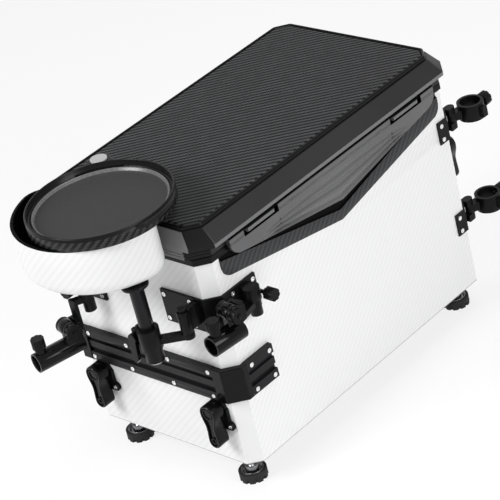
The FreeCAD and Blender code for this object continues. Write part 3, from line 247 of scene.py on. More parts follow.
# %% [markdown]
# Moulded plastic is nearly one colour, but its gloss isn't even: handling, fine grain and slight sink marks
# make the reflections wander. Two noises do that, one broad for the gloss and one fine for the grain.


# %% Moulded plastics, rubber and painted metal
def moulded(name, base, other, gloss, grain_scale=700.0, grain_mm=0.03, specular=0.3, grain=0.35):
    finish = Finish(name, specular=specular, coat_roughness=0.06)
    broad = finish.noise(14.0, 2.0)
    fine = finish.noise(grain_scale, 2.0)
    finish.colour(finish.mix(broad, base, other))
    finish.roughness(finish.blend(broad, gloss[0], gloss[1]))
    finish.bump(fine, grain_mm, grain)
    return finish.material


satin_black = moulded("satin_black", (0.003, 0.003, 0.003), (0.007, 0.007, 0.0075), (0.22, 0.36),
                      specular=0.12)
gloss_black = moulded("gloss_black", (0.002, 0.002, 0.002), (0.004, 0.004, 0.004), (0.10, 0.18), grain=0.05,
                      specular=0.16)
knob_black = moulded("knob_black", (0.003, 0.003, 0.003), (0.007, 0.007, 0.0075), (0.20, 0.32), specular=0.12)
tub_black = moulded("tub_black", (0.0015, 0.0015, 0.0015), (0.003, 0.003, 0.003), (0.5, 0.65), 400.0, 0.06,
                    0.04)
rubber_black = moulded("rubber_black", (0.018, 0.018, 0.018), (0.03, 0.03, 0.03), (0.6, 0.8), 500.0, 0.08,
                       0.2)
cap_grey = moulded("cap_grey", (0.40, 0.40, 0.40), (0.46, 0.46, 0.46), (0.35, 0.45), specular=0.4)
print("plastics and rubber", [finish.name for finish in (satin_black, gloss_black, knob_black, tub_black,
                                                         rubber_black, cap_grey)])

# %% [markdown]
# The metal parts are drawn tube, turned plates, pressed screws and an extruded rail. Each keeps the marks
# of how it was made: fine lines that run the way the metal moved. Stretching a noise along one axis gives
# those lines.


# %% Metals
def metal(name, base, other, gloss, lines, scale=400.0, metal=1.0, specular=0.5):
    finish = Finish(name, metal=metal, specular=specular)
    drawn = finish.noise(scale, 2.0, lines)
    finish.colour(finish.mix(drawn, base, other))
    finish.roughness(finish.blend(drawn, gloss[0], gloss[1]))
    finish.bump(drawn, 0.01, 0.3)
    return finish.material


leg_metal = metal("leg_metal", (0.60, 0.61, 0.62), (0.74, 0.75, 0.76), (0.22, 0.34), (1, 1, 0.04))
plate_metal = metal("plate_metal", (0.16, 0.16, 0.165), (0.24, 0.24, 0.245), (0.16, 0.28), (1, 1, 1), 60.0)
screw_metal = metal("screw_metal", (0.70, 0.70, 0.70), (0.86, 0.86, 0.86), (0.15, 0.28), (1, 1, 1), 200.0)
rail_metal = metal("rail_metal", (0.012, 0.012, 0.013), (0.024, 0.024, 0.026), (0.28, 0.4), (0.03, 0.03, 1),
                   900.0, 0.3, 0.12)
print("metals", [finish.name for finish in (leg_metal, plate_metal, screw_metal, rail_metal)])

# %% [markdown]
# The bowl's pole is black for most of its length, with a bare metal foot below the clamp. One material with a
# change of colour at a height does that without a second piece.

# %% The bowl's pole
pole_low, pole_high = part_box("bowl_pole")
FOOT_SHARE = 0.30
BARE_METAL = (0.55, 0.55, 0.56)


def pole_finish():
    finish = Finish("pole_black_and_bare", metal=0.6, specular=0.2)
    height = finish.split(finish.place)[2]
    change = pole_low.z + (pole_high.z - pole_low.z) * FOOT_SHARE
    bare = finish.sum("LESS_THAN", height, change)
    drawn = finish.noise(500.0, 2.0, (1, 1, 0.05))
    paint = finish.mix(drawn, (0.010, 0.010, 0.011), (0.02, 0.02, 0.022))
    finish.colour(finish.mix(bare, paint, BARE_METAL))
    finish.roughness(finish.blend(drawn, 0.2, 0.32))
    finish.bump(drawn, 0.01, 0.2)
    return finish.material


pole_metal = pole_finish()
print("bare below", round(pole_low.z + (pole_high.z - pole_low.z) * FOOT_SHARE, 4))

# %% [markdown]
# The lid is one dark moulding with a paler lacquered edge above each flap. Its front and back faces are
# drawn lighter as painted light, and its cut corners black as a painted reflection. The flaps are the same
# grey lacquer with broad darker patches that are painted reflections, and fine lines pressed near their top,
# painted black as painted shade. The lines are drawn by height, so they run straight along the whole flap.

# %% Lid and flap
lid_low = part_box("lid_shell_skirt")[0]
flap_low, flap_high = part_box("side_flap_right")
LACQUER = (0.165, 0.166, 0.170)
# The darker grey draws painted reflection patches on the flaps.
PAINTED_REFLECTION_DARK = (0.055, 0.055, 0.057)
LID_DARK = (0.030, 0.030, 0.031)
LID_DEEP = (0.015, 0.015, 0.015)
# Painted light: lighter greys for the lid's front and back faces, and black for its cut corners as a painted
# reflection.
PAINTED_LIT_END = (0.230, 0.231, 0.235)
PAINTED_LIT_END_DEEP = (0.120, 0.120, 0.122)
PAINTED_CORNER_REFLECTION = (0.004, 0.004, 0.004)
LEDGE_REACH = 172 * MM
FLAP_LINES, LINE_HALF = (9 * MM, 11.5 * MM), 0.3 * MM  # depths below the flap's top
# Black for the pressed lines, as painted shade in their grooves.
PAINTED_LINE_SHADE = (0.03, 0.03, 0.03)


def lid_finish():
    finish = Finish("lid_moulding", specular=0.15, coat=0.08, coat_roughness=0.15)
    x, y, z = finish.split(finish.place)
    nx, ny, nz = finish.split(finish.facing)
    broad = finish.noise(6.0, 2.0)
    out = finish.sum("GREATER_THAN", finish.sum("ABSOLUTE", x), LEDGE_REACH)
    upright = finish.sum("GREATER_THAN", finish.sum("ABSOLUTE", nx), 0.9)
    ledge = finish.sum("MULTIPLY", out, upright)
    dark = finish.mix(broad, LID_DEEP, LID_DARK)
    # Front and back faces are drawn far lighter than the sides, as painted light.
    end = finish.sum("MULTIPLY", finish.sum("GREATER_THAN", finish.sum("ABSOLUTE", ny), 0.3),
                     finish.sum("LESS_THAN", finish.sum("ABSOLUTE", nx), 0.2))
    # The cut corners' faces are drawn black, as a painted reflection.
    corner = finish.sum("MULTIPLY", finish.sum("GREATER_THAN", finish.sum("ABSOLUTE", ny), 0.25),
                        finish.sum("GREATER_THAN", finish.sum("ABSOLUTE", nx), 0.25))
    shade = finish.mix(end, dark, finish.mix(broad, PAINTED_LIT_END_DEEP, PAINTED_LIT_END))
    shade = finish.mix(corner, shade, PAINTED_CORNER_REFLECTION)
    finish.colour(finish.mix(ledge, shade, LACQUER))
    finish.roughness(finish.blend(broad, 0.26, 0.4))
    finish.bump(finish.noise(600.0, 2.0), 0.02, 0.3)
    return finish.material


def flap_finish():
    finish = Finish("flap_lacquer", metal=0.35, specular=0.5, coat=0.3, coat_roughness=0.1)
    height = finish.split(finish.place)[2]
    broad = finish.noise(4.0, 2.0)
    # Broad darker patches on the flap are painted reflections.
    shade = finish.mix(broad, PAINTED_REFLECTION_DARK, LACQUER)
    drop = finish.sum("SUBTRACT", flap_high.z, height)
    first, second = [finish.sum("COMPARE", drop, depth, LINE_HALF) for depth in FLAP_LINES]
    # The pressed lines are painted black, as painted shade in their grooves.
    finish.colour(finish.mix(finish.sum("ADD", first, second), shade, PAINTED_LINE_SHADE))
    finish.roughness(finish.blend(broad, 0.16, 0.3))
    finish.bump(finish.noise(700.0, 2.0), 0.01, 0.2)
    return finish.material


lid_dark = lid_finish()
flap_grey = flap_finish()
print("made", lid_dark.name, "and", flap_grey.name)

# %% [markdown]
# Each CAD node gets its finish by name. The CAD edges are razor sharp, and nothing real is: a narrow bevel
# on every edge catches a line of light. It is a modifier, so the CAD mesh itself stays as it was.

# %% Dress the CAD nodes
DRESS = [
    ("body_shell", white_wall, 0.8), ("bait_bowl", white_bowl, 0), ("bowl_liner", tub_black, 0),
    ("inner_liner", tub_black, 0), ("top_collar", satin_black, 0.4), ("lid_seal", rubber_black, 0),
    ("side_apron", dark_trim, 0), ("front_rail", rail_metal, 0.4), ("side_rail", rail_metal, 0.4),
    ("rail_corners", gloss_black, 1.0), ("rail_screws", screw_metal, 0.2),
    ("bracket_screws", screw_metal, 0.2),
    ("corner_bracket", satin_black, 0.6), ("rear_brackets", satin_black, 0.5), ("leg_sleeves", tub_black, 0),
    ("lever_flanges", satin_black, 0.5), ("lock_lever", gloss_black, 0), ("leg_tube", leg_metal, 0.4),
    ("foot_plate", plate_metal, 0.4), ("foot_pad", rubber_black, 0.6), ("lid_shell", lid_dark, 0),
    ("lid_bead", gloss_black, 0), ("lid_panel", satin_black, 0), ("seat_pad", rubber_black, 0),
    ("flap_pins", tub_black, 0),
    ("tray_pivot", satin_black, 0.5), ("side_flap", flap_grey, 0), ("serving_tray", satin_black, 0),
    ("tray_cap", cap_grey, 0.5), ("bowl_pole", pole_metal, 0.5), ("pole_clamp", satin_black, 0.5),
    ("clamp_lever", gloss_black, 0.6), ("link_arm", satin_black, 0.5), ("rod_arm", satin_black, 0.5),
    ("rod_tube", gloss_black, 0.5), ("rod_knob", knob_black, 0.5), ("tilt_knob", knob_black, 0.5),
    ("arm_knob", knob_black, 0.5), ("pole_ring", satin_black, 0.5), ("ring_knob", knob_black, 0.5),
]
SHARP_EDGE = math.radians(28)


def dress(node, finish, bevel_mm):
    """Gives a CAD node its finish and, where it has room, rounded edges."""
    node.data.materials.clear()
    node.data.materials.append(finish)
    if bevel_mm == 0:
        return
    weld = node.modifiers.new("weld", "WELD")
    weld.merge_threshold = 0.01 * MM
    flat = node.modifiers.new("flat", "DECIMATE")
    flat.decimate_type = "DISSOLVE"
    flat.angle_limit = math.radians(1)
    bevel = node.modifiers.new("edges", "BEVEL")
    bevel.width = bevel_mm * MM
    bevel.segments = 2
    bevel.limit_method = "ANGLE"
    bevel.angle_limit = SHARP_EDGE
    bevel.harden_normals = True


for name, node in nodes.items():
    match = [row for row in DRESS if name.startswith(row[0])]
    dress(node, *match[0][1:])
print("dressed", len(nodes))

# %% [markdown]
# The seat is a thin firm cushion under ribbed cloth. It could be a puffed cloth simulation, but the real
# pad is flat and tight, so it is built directly: rings of points drawn in from the pad's outline, each
# lifted by how far it lies from the edge. That gives a rolled edge all round, a slight crown, and a neat
# dip round the tray's post.

# %% The seat cushion
pad_low, pad_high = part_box("seat_pad")
post_low, post_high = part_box("tray_pivot")
PAD_CORNER = 15 * MM
PAD_RINGS = 46
PAD_POINTS_A_SIDE = 34
PAD_ROLL = 3.2 * MM
PAD_CROWN = 1.6 * MM
PAD_STEP = 0.35


def cut_rectangle(half_x, half_y, corner):
    """The outline of a rectangle with cut corners, as corner points in turn."""
    near_x, near_y = half_x - corner, half_y - corner
    return [Vector(p) for p in ((near_x, -half_y), (half_x, -near_y), (half_x, near_y), (near_x, half_y),
                                (-near_x, half_y), (-half_x, near_y), (-half_x, -near_y), (-near_x, -half_y))]


def edge_distance(point, outline):
    """How far a point lies inside a convex outline."""
    best = 1.0
    for start, end in zip(outline, outline[1:] + outline[:1]):
        side = end - start
        normal = Vector((-side.y, side.x)).normalized()
        best = min(best, (point - start).dot(normal))
    return best


def walk(outline, points_a_side):
    """Points evenly along each side of an outline."""
    points = []
    for start, end in zip(outline, outline[1:] + outline[:1]):
        count = max(3, round(points_a_side * (end - start).length / 0.5))
        points += [start.lerp(end, n / count) for n in range(count)]
    return points


def make_cushion():
    middle = (pad_low + pad_high) / 2
    half = (pad_high - pad_low) / 2
    outline = cut_rectangle(half.x, half.y, PAD_CORNER)
    rim = walk(outline, PAD_POINTS_A_SIDE * 4)
    post = Vector(((post_low.x + post_high.x) / 2 - middle.x, (post_low.y + post_high.y) / 2 - middle.y))
    post_radius = (post_high.x - post_low.x) / 2 + 0.5 * MM
    tall = pad_high.z - pad_low.z - PAD_CROWN
    mesh = bmesh.new()
    rings = [[mesh.verts.new((p.x + middle.x, p.y + middle.y, pad_low.z)) for p in rim]]
    for ring in range(PAD_RINGS + 1):
        share = (ring / PAD_RINGS) ** 1.7
        row = []
        for p in rim:
            q = p * (1 - share * 0.995)
            inside = max(0.0, min(edge_distance(q, outline), (q - post).length - post_radius))
            roll = 1 - max(0.0, 1 - inside / PAD_ROLL) ** 2.2
            crown = PAD_CROWN * (1 - (q.x / half.x) ** 2) * (1 - (q.y / half.y) ** 4)
            rise = tall * (PAD_STEP + (1 - PAD_STEP) * roll) if inside > 0 or ring == 0 else 0
            height = pad_low.z + rise + crown * roll
            row.append(mesh.verts.new((q.x + middle.x, q.y + middle.y, height)))
        rings.append(row)
    count = len(rim)
    for low, high in zip(rings, rings[1:]):
        for n in range(count):
            mesh.faces.new((low[n], low[(n + 1) % count], high[(n + 1) % count], high[n]))
    mesh.faces.new(rings[-1])
    mesh.faces.new(list(reversed(rings[0])))
    data = bpy.data.meshes.new("seat_cushion")
    mesh.to_mesh(data)
    mesh.free()
    for face in data.polygons:
        face.use_smooth = True
    cushion = bpy.data.objects.new("seat_cushion", data)
    bpy.context.scene.collection.objects.link(cushion)
    return cushion


cushion = make_cushion()
print("cushion", len(cushion.data.vertices), "vertices")

# %% [markdown]
# The cushion's cloth is a coarse ribbed weave, matt, with pale threads over black ones. It uses the same
# count of bundles as the laminate, laid across the seat, and the bump lifts each pale thread a quarter of a
# millimetre.

# %% Seat cloth
CLOTH_BUNDLE = 2.95


def seat_cloth():
    finish = Finish("seat_cloth", specular=0.08)
    x, y, z = finish.split(finish.place)
    over, back = twill(finish, x, y, CLOTH_BUNDLE)
    wander = finish.noise(60.0, 2.0, (1, 1, 1))
    broad = finish.noise(5.0, 1.0)
    light = finish.mix(wander, (0.044, 0.045, 0.046), (0.100, 0.102, 0.104))
    dark = finish.mix(broad, (0.008, 0.008, 0.009), (0.014, 0.014, 0.015))
    finish.colour(finish.mix(over, dark, light))
    finish.roughness(finish.blend(wander, 0.55, 0.75))
    finish.bump(finish.sum("ADD", back, finish.sum("MULTIPLY", over, 0.8)), 0.25, 0.6)
    return finish.material


cushion.data.materials.append(seat_cloth())
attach(cushion, "lid")
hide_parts("seat_pad")
print("seat cloth bundle", CLOTH_BUNDLE, "mm")

# %% [markdown]
# Bowl, tray, bead, flaps and side trim are smooth moulded shapes with rolled edges, which flat CAD faces only
# stand in for. Each is built as a row of matching loops with faces between them: loops round the bowl, and
# cross-sections along the flap. That gives full control of every edge, with no modifier to tune.


# %% A helper that skins a row of loops
def skin(mesh, loops, numbers, close_first=True, close_last=True):
    """Faces between matching loops. numbers gives the finish of each band, by loop or by point."""
    rows = [[mesh.verts.new(p) for p in loop] for loop in loops]
    count = len(rows[0])
    for k, (low, high) in enumerate(zip(rows, rows[1:])):
        for n in range(count):
            face = mesh.faces.new((low[n], low[(n + 1) % count], high[(n + 1) % count], high[n]))
            face.material_index = numbers[k] if len(numbers) == len(rows) - 1 else numbers[n]
            face.smooth = True
    if close_first:
        mesh.faces.new(list(reversed(rows[0]))).material_index = numbers[0]
    if close_last:
        mesh.faces.new(rows[-1]).material_index = numbers[-1]


def piece(name, mesh, finishes, crease=32):
    """An object from a built mesh, smooth but for edges sharper than the crease."""
    bmesh.ops.recalc_face_normals(mesh, faces=mesh.faces[:])
    for edge in mesh.edges:
        if len(edge.link_faces) == 2 and edge.calc_face_angle(0) > math.radians(crease):
            edge.smooth = False
    data = bpy.data.meshes.new(name)
    mesh.to_mesh(data)
    mesh.free()
    for finish in finishes:
        data.materials.append(finish)
    thing = bpy.data.objects.new(name, data)
    bpy.context.scene.collection.objects.link(thing)
    print(name, len(data.vertices), "vertices")
    return thing


# %% [markdown]
# The bowl is a deep round dish with a flat back that clears the lid. Its white wall has a rolled foot and a
# thin rim, and a black lining hangs over the rim's inside. Both follow one outline, drawn smaller for every
# step inward.

# %% Bait bowl
BOWL_RADIUS = 126 * MM
BOWL_CORNER = 32 * MM
BOWL_FOOT = 26 * MM
BOWL_WALL, LINING = 3 * MM, 5.3 * MM  # how far in the wall's and the lining's inner faces lie
bowl_x, bowl_y = (bowl_low.x + bowl_high.x) / 2, bowl_low.y + BOWL_RADIUS
wall_low, wall_high = bowl_low, bowl_high


def arc_points(x, y, radius, start, end, count):
    turns = [start + (end - start) * n / count for n in range(count)]
    return [(x + radius * math.cos(a), y + radius * math.sin(a)) for a in turns]


def bowl_outline(inset, height):
    """The bowl's plan: a circle, two rounded corners and a straight back."""
    radius, back = BOWL_RADIUS - inset, wall_high.y - inset
    corner = max(4 * MM, BOWL_CORNER - inset)
    corner_y = back - corner
    corner_x = math.sqrt(max(0.0, (radius - corner) ** 2 - (corner_y - bowl_y) ** 2))
    tilt = math.atan2(corner_y - bowl_y, corner_x)
    points = arc_points(bowl_x, bowl_y, radius, math.pi - tilt, math.tau + tilt, 150)
    points += arc_points(bowl_x + corner_x, corner_y, corner, tilt, math.pi / 2, 20)
    points += [(bowl_x + corner_x * (1 - n / 12), back) for n in range(24)]
    points += arc_points(bowl_x - corner_x, corner_y, corner, math.pi / 2, math.pi - tilt, 20)
    return [(x, y, height) for x, y in points]


def rolled(inset, low, radius, steps):
    """Inset and height down a wall and round its foot."""
    turns = [math.pi / 2 * n / steps for n in range(steps + 1)]
    return [(inset + radius * (1 - math.cos(a)), low + radius * (1 - math.sin(a))) for a in turns]


def bowl_wall_piece():
    mesh = bmesh.new()
    top = wall_high.z
    path = [(BOWL_FOOT + 6 * MM, wall_low.z)] + rolled(0, wall_low.z, BOWL_FOOT, 12)[::-1]
    path += [(0, wall_low.z + 50 * MM), (0, top - 1.4 * MM), (0.3 * MM, top - 0.9 * MM)]
    path += [(1.2 * MM, top - 0.8 * MM), (2.8 * MM, top - 1 * MM), (BOWL_WALL, top - 40 * MM)]
    path += rolled(BOWL_WALL, wall_low.z + BOWL_WALL, BOWL_FOOT - BOWL_WALL, 8)
    skin(mesh, [bowl_outline(*p) for p in path], [0] * 16 + [1] * (len(path) - 17))
    return piece("bowl_wall", mesh, (white_bowl, tub_black), 40)


def bowl_lining_piece():
    mesh = bmesh.new()
    top = wall_high.z
    path = [(2.6 * MM, top - 4 * MM), (0.9 * MM, top - 0.8 * MM), (0.9 * MM, top - 0.3 * MM), (1.4 * MM, top)]
    path += [(4.6 * MM, top), (LINING, top - 0.7 * MM), (LINING, top - 50 * MM)]
    path += rolled(LINING, wall_low.z + LINING, BOWL_FOOT - LINING, 10)
    path += [(BOWL_FOOT + 20 * MM, wall_low.z + LINING)]
    skin(mesh, [bowl_outline(*p) for p in path], [0] * (len(path) - 1), False)
    return piece("bowl_lining", mesh, (tub_black,), 40)


for made, node, slot in ((bowl_wall_piece(), "bait_bowl", "shell_white"),
                         (bowl_lining_piece(), "bowl_liner", "liner_black")):
    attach(made, "bowl")
    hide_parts(node)

# %% [markdown]
# The tray is a turned pan: woven skirt, rolled rim, a groove, a raised bead of polished edge and a fine-
# grained floor. The bead is drawn paler than the rest, partly as a painted highlight. One profile turned
# round the middle makes all of them. Its ear is a plate of its own, and its pull tab is a bulge that follows
# the rim.

# %% Serving tray
tray_low, tray_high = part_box("serving_tray")
cap_low, cap_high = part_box("tray_cap")
TRAY_RADIUS = 106 * MM
TRAY_SIDES = 180
TAB_START, TAB_END = -18, 38
tray_x, tray_y = tray_high.x - TRAY_RADIUS, tray_low.y + TRAY_RADIUS
ear_x, ear_y = (cap_low.x + cap_high.x) / 2, (cap_low.y + cap_high.y) / 2
SKIRT, RIM, POLISH_AND_HIGHLIGHT, GRAIN = range(4)
TRAY_PROFILE = [  # radius and height in mm, and the finish of the band that follows
    (2, 0, SKIRT), (104.6, 0, SKIRT), (106, 1.2, SKIRT), (106, 14.5, RIM), (105.6, 15, RIM),
    (105.6, 18.4, RIM), (105.1, 19.5, RIM), (104.2, 20, RIM), (103.3, 19.7, RIM), (102.8, 18.8, RIM),
    (102.5, 10, RIM), (101.6, 8.9, RIM),
    (99.4, 8.6, RIM), (98.4, 9, POLISH_AND_HIGHLIGHT), (97.7, 10.6, POLISH_AND_HIGHLIGHT), (96.8, 11.6, POLISH_AND_HIGHLIGHT), (95.8, 11.8, POLISH_AND_HIGHLIGHT),
    (94.8, 11, POLISH_AND_HIGHLIGHT), (93, 7.6, GRAIN), (91.6, 5.8, GRAIN), (90, 5, GRAIN), (60, 5, GRAIN), (30, 5, GRAIN),
    (2, 5, GRAIN)]


def tray_finish(name, base, other, gloss, woven=False, grain=0.3, scale=420.0, specular=0.35):
    finish = Finish(name, specular=specular, coat=0.1 if woven else 0.0, coat_roughness=0.2)
    cloud = finish.noise(scale, 3.0)
    if woven:
        x, y, z = finish.split(finish.place)
        turn = finish.sum("ARCTAN2", finish.sum("SUBTRACT", y, tray_y), finish.sum("SUBTRACT", x, tray_x))
        over, back = twill(finish, finish.sum("MULTIPLY", turn, TRAY_RADIUS), z, WEAVE_BUNDLE)
        finish.colour(finish.mix(over, base, other))
        finish.bump(back, 0.08, 0.5)
    else:
        finish.colour(finish.mix(cloud, base, other))
        finish.bump(cloud, 0.05, grain)
    finish.roughness(finish.blend(cloud, *gloss))
    return finish.material


TRAY_FINISHES = (
    tray_finish("tray_skirt", (0.003, 0.003, 0.003), (0.034, 0.034, 0.036), (0.3, 0.5), True, specular=0.15),
    tray_finish("tray_rim", (0.004, 0.004, 0.004), (0.009, 0.009, 0.009), (0.2, 0.3), scale=30.0, grain=0.1,
                specular=0.15),
    # The polished bead is real polish, and its pale grey is partly a painted highlight.
    tray_finish("tray_polish_and_highlight", (0.08, 0.08, 0.081), (0.15, 0.15, 0.152), (0.2, 0.34), scale=200.0,
                specular=0.5),
    tray_finish("tray_grain", (0.020, 0.020, 0.021), (0.050, 0.050, 0.052), (0.5, 0.68), specular=0.2))


EAR_ROOT, EAR_SPREAD = 96.2 * MM, 36 * MM


def ear_outline(inset, height):
    """A plate from the tray's wall that narrows to a round ear, seen from above."""
    toward = Vector((ear_x - tray_x, ear_y - tray_y))
    along = toward.normalized()
    across = Vector((-along.y, along.x))
    middle, radius = Vector((ear_x, ear_y)), 17 * MM - inset
    root = Vector((tray_x, tray_y)) + along * EAR_ROOT
    points = [root + across * (EAR_SPREAD - inset)]
    for n in range(25):
        turn = math.pi * n / 24
        points.append(middle + across * radius * math.cos(turn) + along * radius * math.sin(turn))
    points.append(root - across * (EAR_SPREAD - inset))
    return [(p.x, p.y, height) for p in points]


def tab_section(share):
    """The pull tab's outline across, at a share of the way along it: a low bulge on the rim."""
    bulge = 0.075 * min(1.0, 9 * share, 3 * (1 - share)) * TRAY_RADIUS
    turn = math.radians(TAB_START + (TAB_END - TAB_START) * share)
    low, high = tray_high.z - 9 * MM, tray_high.z - 2.6 * MM
    inner, outer = TRAY_RADIUS - 1.5 * MM, TRAY_RADIUS - 1 * MM + bulge
    rows = ((inner, low), (outer - 1 * MM, low), (outer, low + 1 * MM), (outer, high - 1 * MM),
            (outer - 0.3 * MM, high - 0.3 * MM), (outer - 0.9 * MM, high), (inner, high))
    return [(tray_x + r * math.cos(turn), tray_y + r * math.sin(turn), z) for r, z in rows]


def make_tray():
    mesh = bmesh.new()
    loops = []
    for radius, height, number in TRAY_PROFILE:
        ring = arc_points(tray_x, tray_y, radius * MM, 0, math.tau, TRAY_SIDES)
        loops.append([(x, y, tray_low.z + height * MM) for x, y in ring])
    skin(mesh, loops, [row[2] for row in TRAY_PROFILE[:-1]])
    low, high = tray_low.z + 4 * MM, cap_low.z
    edges = [(0.8 * MM, low), (0, low + 0.8 * MM), (0, high - 1 * MM), (0.4 * MM, high - 0.3 * MM),
             (1.2 * MM, high)]
    skin(mesh, [ear_outline(*p) for p in edges], [RIM] * 4)
    skin(mesh, [tab_section(n / 40) for n in range(41)], [RIM] * 40)
    return piece("tray", mesh, TRAY_FINISHES, 50)


tray = make_tray()
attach(tray, "tray")
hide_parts("serving_tray")

# %% [markdown]
# A round glossy bead runs round the seat, set a little in from the lid's edge so that a dark groove lies
# each side. The corners are cut at 45 degrees and slightly rounded, like the lid's own.

# %% Lid bead
bead_low, bead_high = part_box("lid_bead")
BEAD_CORNER = 20
BEAD_PROFILE = ((1.1, 0), (1.0, 2.2), (1.5, 3.7), (2.5, 4.7), (3.5, 4.9), (4.6, 4.2), (5.2, 2.8), (5.3, 0))


def cut_corner_loop(half_x, half_y, corner, rounding, height):
    """A rectangle with 45 degree corners, each of its eight points rounded."""
    sharp = cut_rectangle(half_x, half_y, corner)
    points = []
    for n, here in enumerate(sharp):
        before, after = sharp[n - 1], sharp[(n + 1) % 8]
        start = here + (before - here).normalized() * rounding
        end = here + (after - here).normalized() * rounding
        for k in range(5):
            t = k / 4
            points.append(start * (1 - t) ** 2 + here * 2 * t * (1 - t) + end * t * t)
    return [(p.x, p.y, height) for p in points]


def make_bead():
    mesh = bmesh.new()
    loops = []
    for inset, height in BEAD_PROFILE:
        corner = (BEAD_CORNER - inset * (2 - math.sqrt(2))) * MM
        loops.append(cut_corner_loop(bead_high.x - inset * MM, bead_high.y - inset * MM, corner, 2.5 * MM,
                                     bead_low.z + height * MM))
    skin(mesh, loops + loops[:1], [0] * len(loops), False, False)
    bmesh.ops.remove_doubles(mesh, verts=mesh.verts[:], dist=0.01 * MM)
    return piece("bead", mesh, (gloss_black,), 60)


bead = make_bead()
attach(bead, "lid")
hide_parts("lid_bead")

# %% [markdown]
# Each flap hangs from a rolled hinge edge. Below two fine pressed lines its face is flat, and then it dips
# into a long finger hold: two soft ridges that swell in the middle and run out to a point at both ends. The
# flap is skinned from cross-sections along its length, with the hinge's notches cut where the lid's lugs
# come through.

# %% Side flaps
HINGE_Z = flap_high.z - 4 * MM
FLAP_MIDDLE_LOW = flap_low.z
FLAP_END_LOW = flap_low.z + 37 * MM
HOLD_REACH = 165 * MM
LUG_MIDDLE, LUG_ROOM = 160 * MM, 36 * MM
FACE_ROWS = 56
HOLD_SHAPE = ((0, 0), (0.04, 1.3), (0.12, 1.5), (0.24, 0.2), (0.31, 0.3), (0.40, 2.9), (0.50, 3.2),
              (0.57, 1.4), (0.66, 1.1), (0.76, 2.2), (0.86, 3.2), (0.92, 1.3), (1.0, 1.0))


def shaped(share, table):
    """A number read from a table, smooth between its rows."""
    for (a, low), (b, high) in zip(table, table[1:]):
        if share <= b:
            t = (share - a) / (b - a)
            t = t * t * (3 - 2 * t)
            return low + (high - low) * t
    return table[-1][1]


def flap_bottom(y):
    y = abs(y)
    low = FLAP_MIDDLE_LOW + (FLAP_END_LOW - FLAP_MIDDLE_LOW) * y / (218 * MM)
    turn = min(1.0, max(0.0, (y - 207 * MM) / (18 * MM)))
    return low + 15 * MM * (1 - math.sqrt(1 - turn * turn))


def flap_section(y, cut):
    """The flap's outline across: up the outer face, over the roll and down the inner face."""
    bottom = flap_bottom(y)
    top = HINGE_Z - 9 * MM if cut else HINGE_Z
    reach = min(1.0, abs(y) / HOLD_REACH)
    hold_top = HINGE_Z - 24 * MM + 9 * MM * (1 - reach * reach)
    strength = min(1.0, (1 - reach) * 4.5)
    outer, inner = flap_high.x, flap_low.x
    points = [(inner + 2 * MM, bottom), (outer - 1.4 * MM, bottom), (outer - 0.5 * MM, bottom + 0.3 * MM)]
    for n in range(FACE_ROWS + 1):
        z = bottom + 1 * MM + (top - bottom - 1 * MM) * n / FACE_ROWS
        share = (hold_top - z) / (hold_top - bottom)
        dip = shaped(share, HOLD_SHAPE) * strength * MM if share > 0 else 0.0
        line = min(abs(flap_high.z - z - depth) for depth in FLAP_LINES)
        points.append((outer - dip - (0.45 * MM if line < 0.4 * MM else 0), z))
    for n in range(1, 9):
        turn = math.pi * n / 9
        rise = 0 if cut else 4 * MM * math.sin(turn)
        points.append(((outer + inner) / 2 + 4 * MM * math.cos(turn), top + rise))
    points += [(inner, top - 2 * MM), (inner, bottom + 2 * MM)]
    return [(x, y, z) for x, z in points]


def make_flap(name, side):
    marks = sorted({end * LUG_MIDDLE + turn * LUG_ROOM for end in (1, -1) for turn in (1, -1)})
    reach = flap_high.y
    steps = [-reach + 2 * reach * n / 300 for n in range(301)]
    columns = []
    for y in steps:
        cut = min(abs(abs(y) - LUG_MIDDLE), 1.0) < LUG_ROOM
        columns.append((y, cut))
    for mark in marks:
        columns += [(mark - 0.01 * MM, abs(abs(mark - 0.1 * MM) - LUG_MIDDLE) < LUG_ROOM),
                    (mark + 0.01 * MM, abs(abs(mark + 0.1 * MM) - LUG_MIDDLE) < LUG_ROOM)]
    columns.sort()
    mesh = bmesh.new()
    loops = [[(side * x, y, z) for x, y, z in flap_section(*column)] for column in columns]
    roll = FACE_ROWS + 4
    skin(mesh, loops, [1 if roll <= n < roll + 10 else 0 for n in range(len(loops[0]))])
    return piece(name, mesh, (flap_grey, tub_black), 38)


for word, side in (("right", 1), ("left", -1)):
    flap = make_flap("flap_face_" + word, side)
    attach(flap, "flap_" + word)
    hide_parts("side_flap_" + word)

# %% [markdown]
# The lid's rim is a stack of cut-corner outlines: a skirt with two pressed lines, a ledge over each flap, a
# slope and a groove for the bead. Stacking them lets every edge be rolled by half a millimetre, where the
# light lies in a thin line. The lugs that hold the flaps' pins are set down from the ledge, so a dark gap
# runs above them.

# %% Lid
LID_PROFILE = (  # half width, half length, height over the skirt's foot, and corner, in mm
    (155, 270, 0, 21.3), (162, 277, 0, 25.5), (163, 278, 0.8, 26), (163, 278, 4.6, 26),
    (163, 277.2, 5, 26), (163, 277.2, 5.8, 26), (163, 278, 6.2, 26), (163, 278, 9.6, 26),
    (163, 277.2, 10, 26), (163, 277.2, 10.8, 26), (163, 278, 11.2, 26), (163, 278, 15, 26),
    (174.2, 278, 15, 26), (174.8, 278, 15.3, 26), (175, 278, 16, 26), (175, 278, 21, 26),
    (174.6, 277.7, 21.7, 26), (173.8, 277.2, 22.2, 26), (154.4, 268.2, 38.6, 20.6),
    (153.2, 267.6, 39.4, 20.2),
    (151.6, 266.6, 39.6, 19.6), (151, 266, 38.8, 19.5), (144, 259, 38.8, 15.4))
LID_ROUNDING = 2.2 * MM
LUG_HALF = 28 * MM


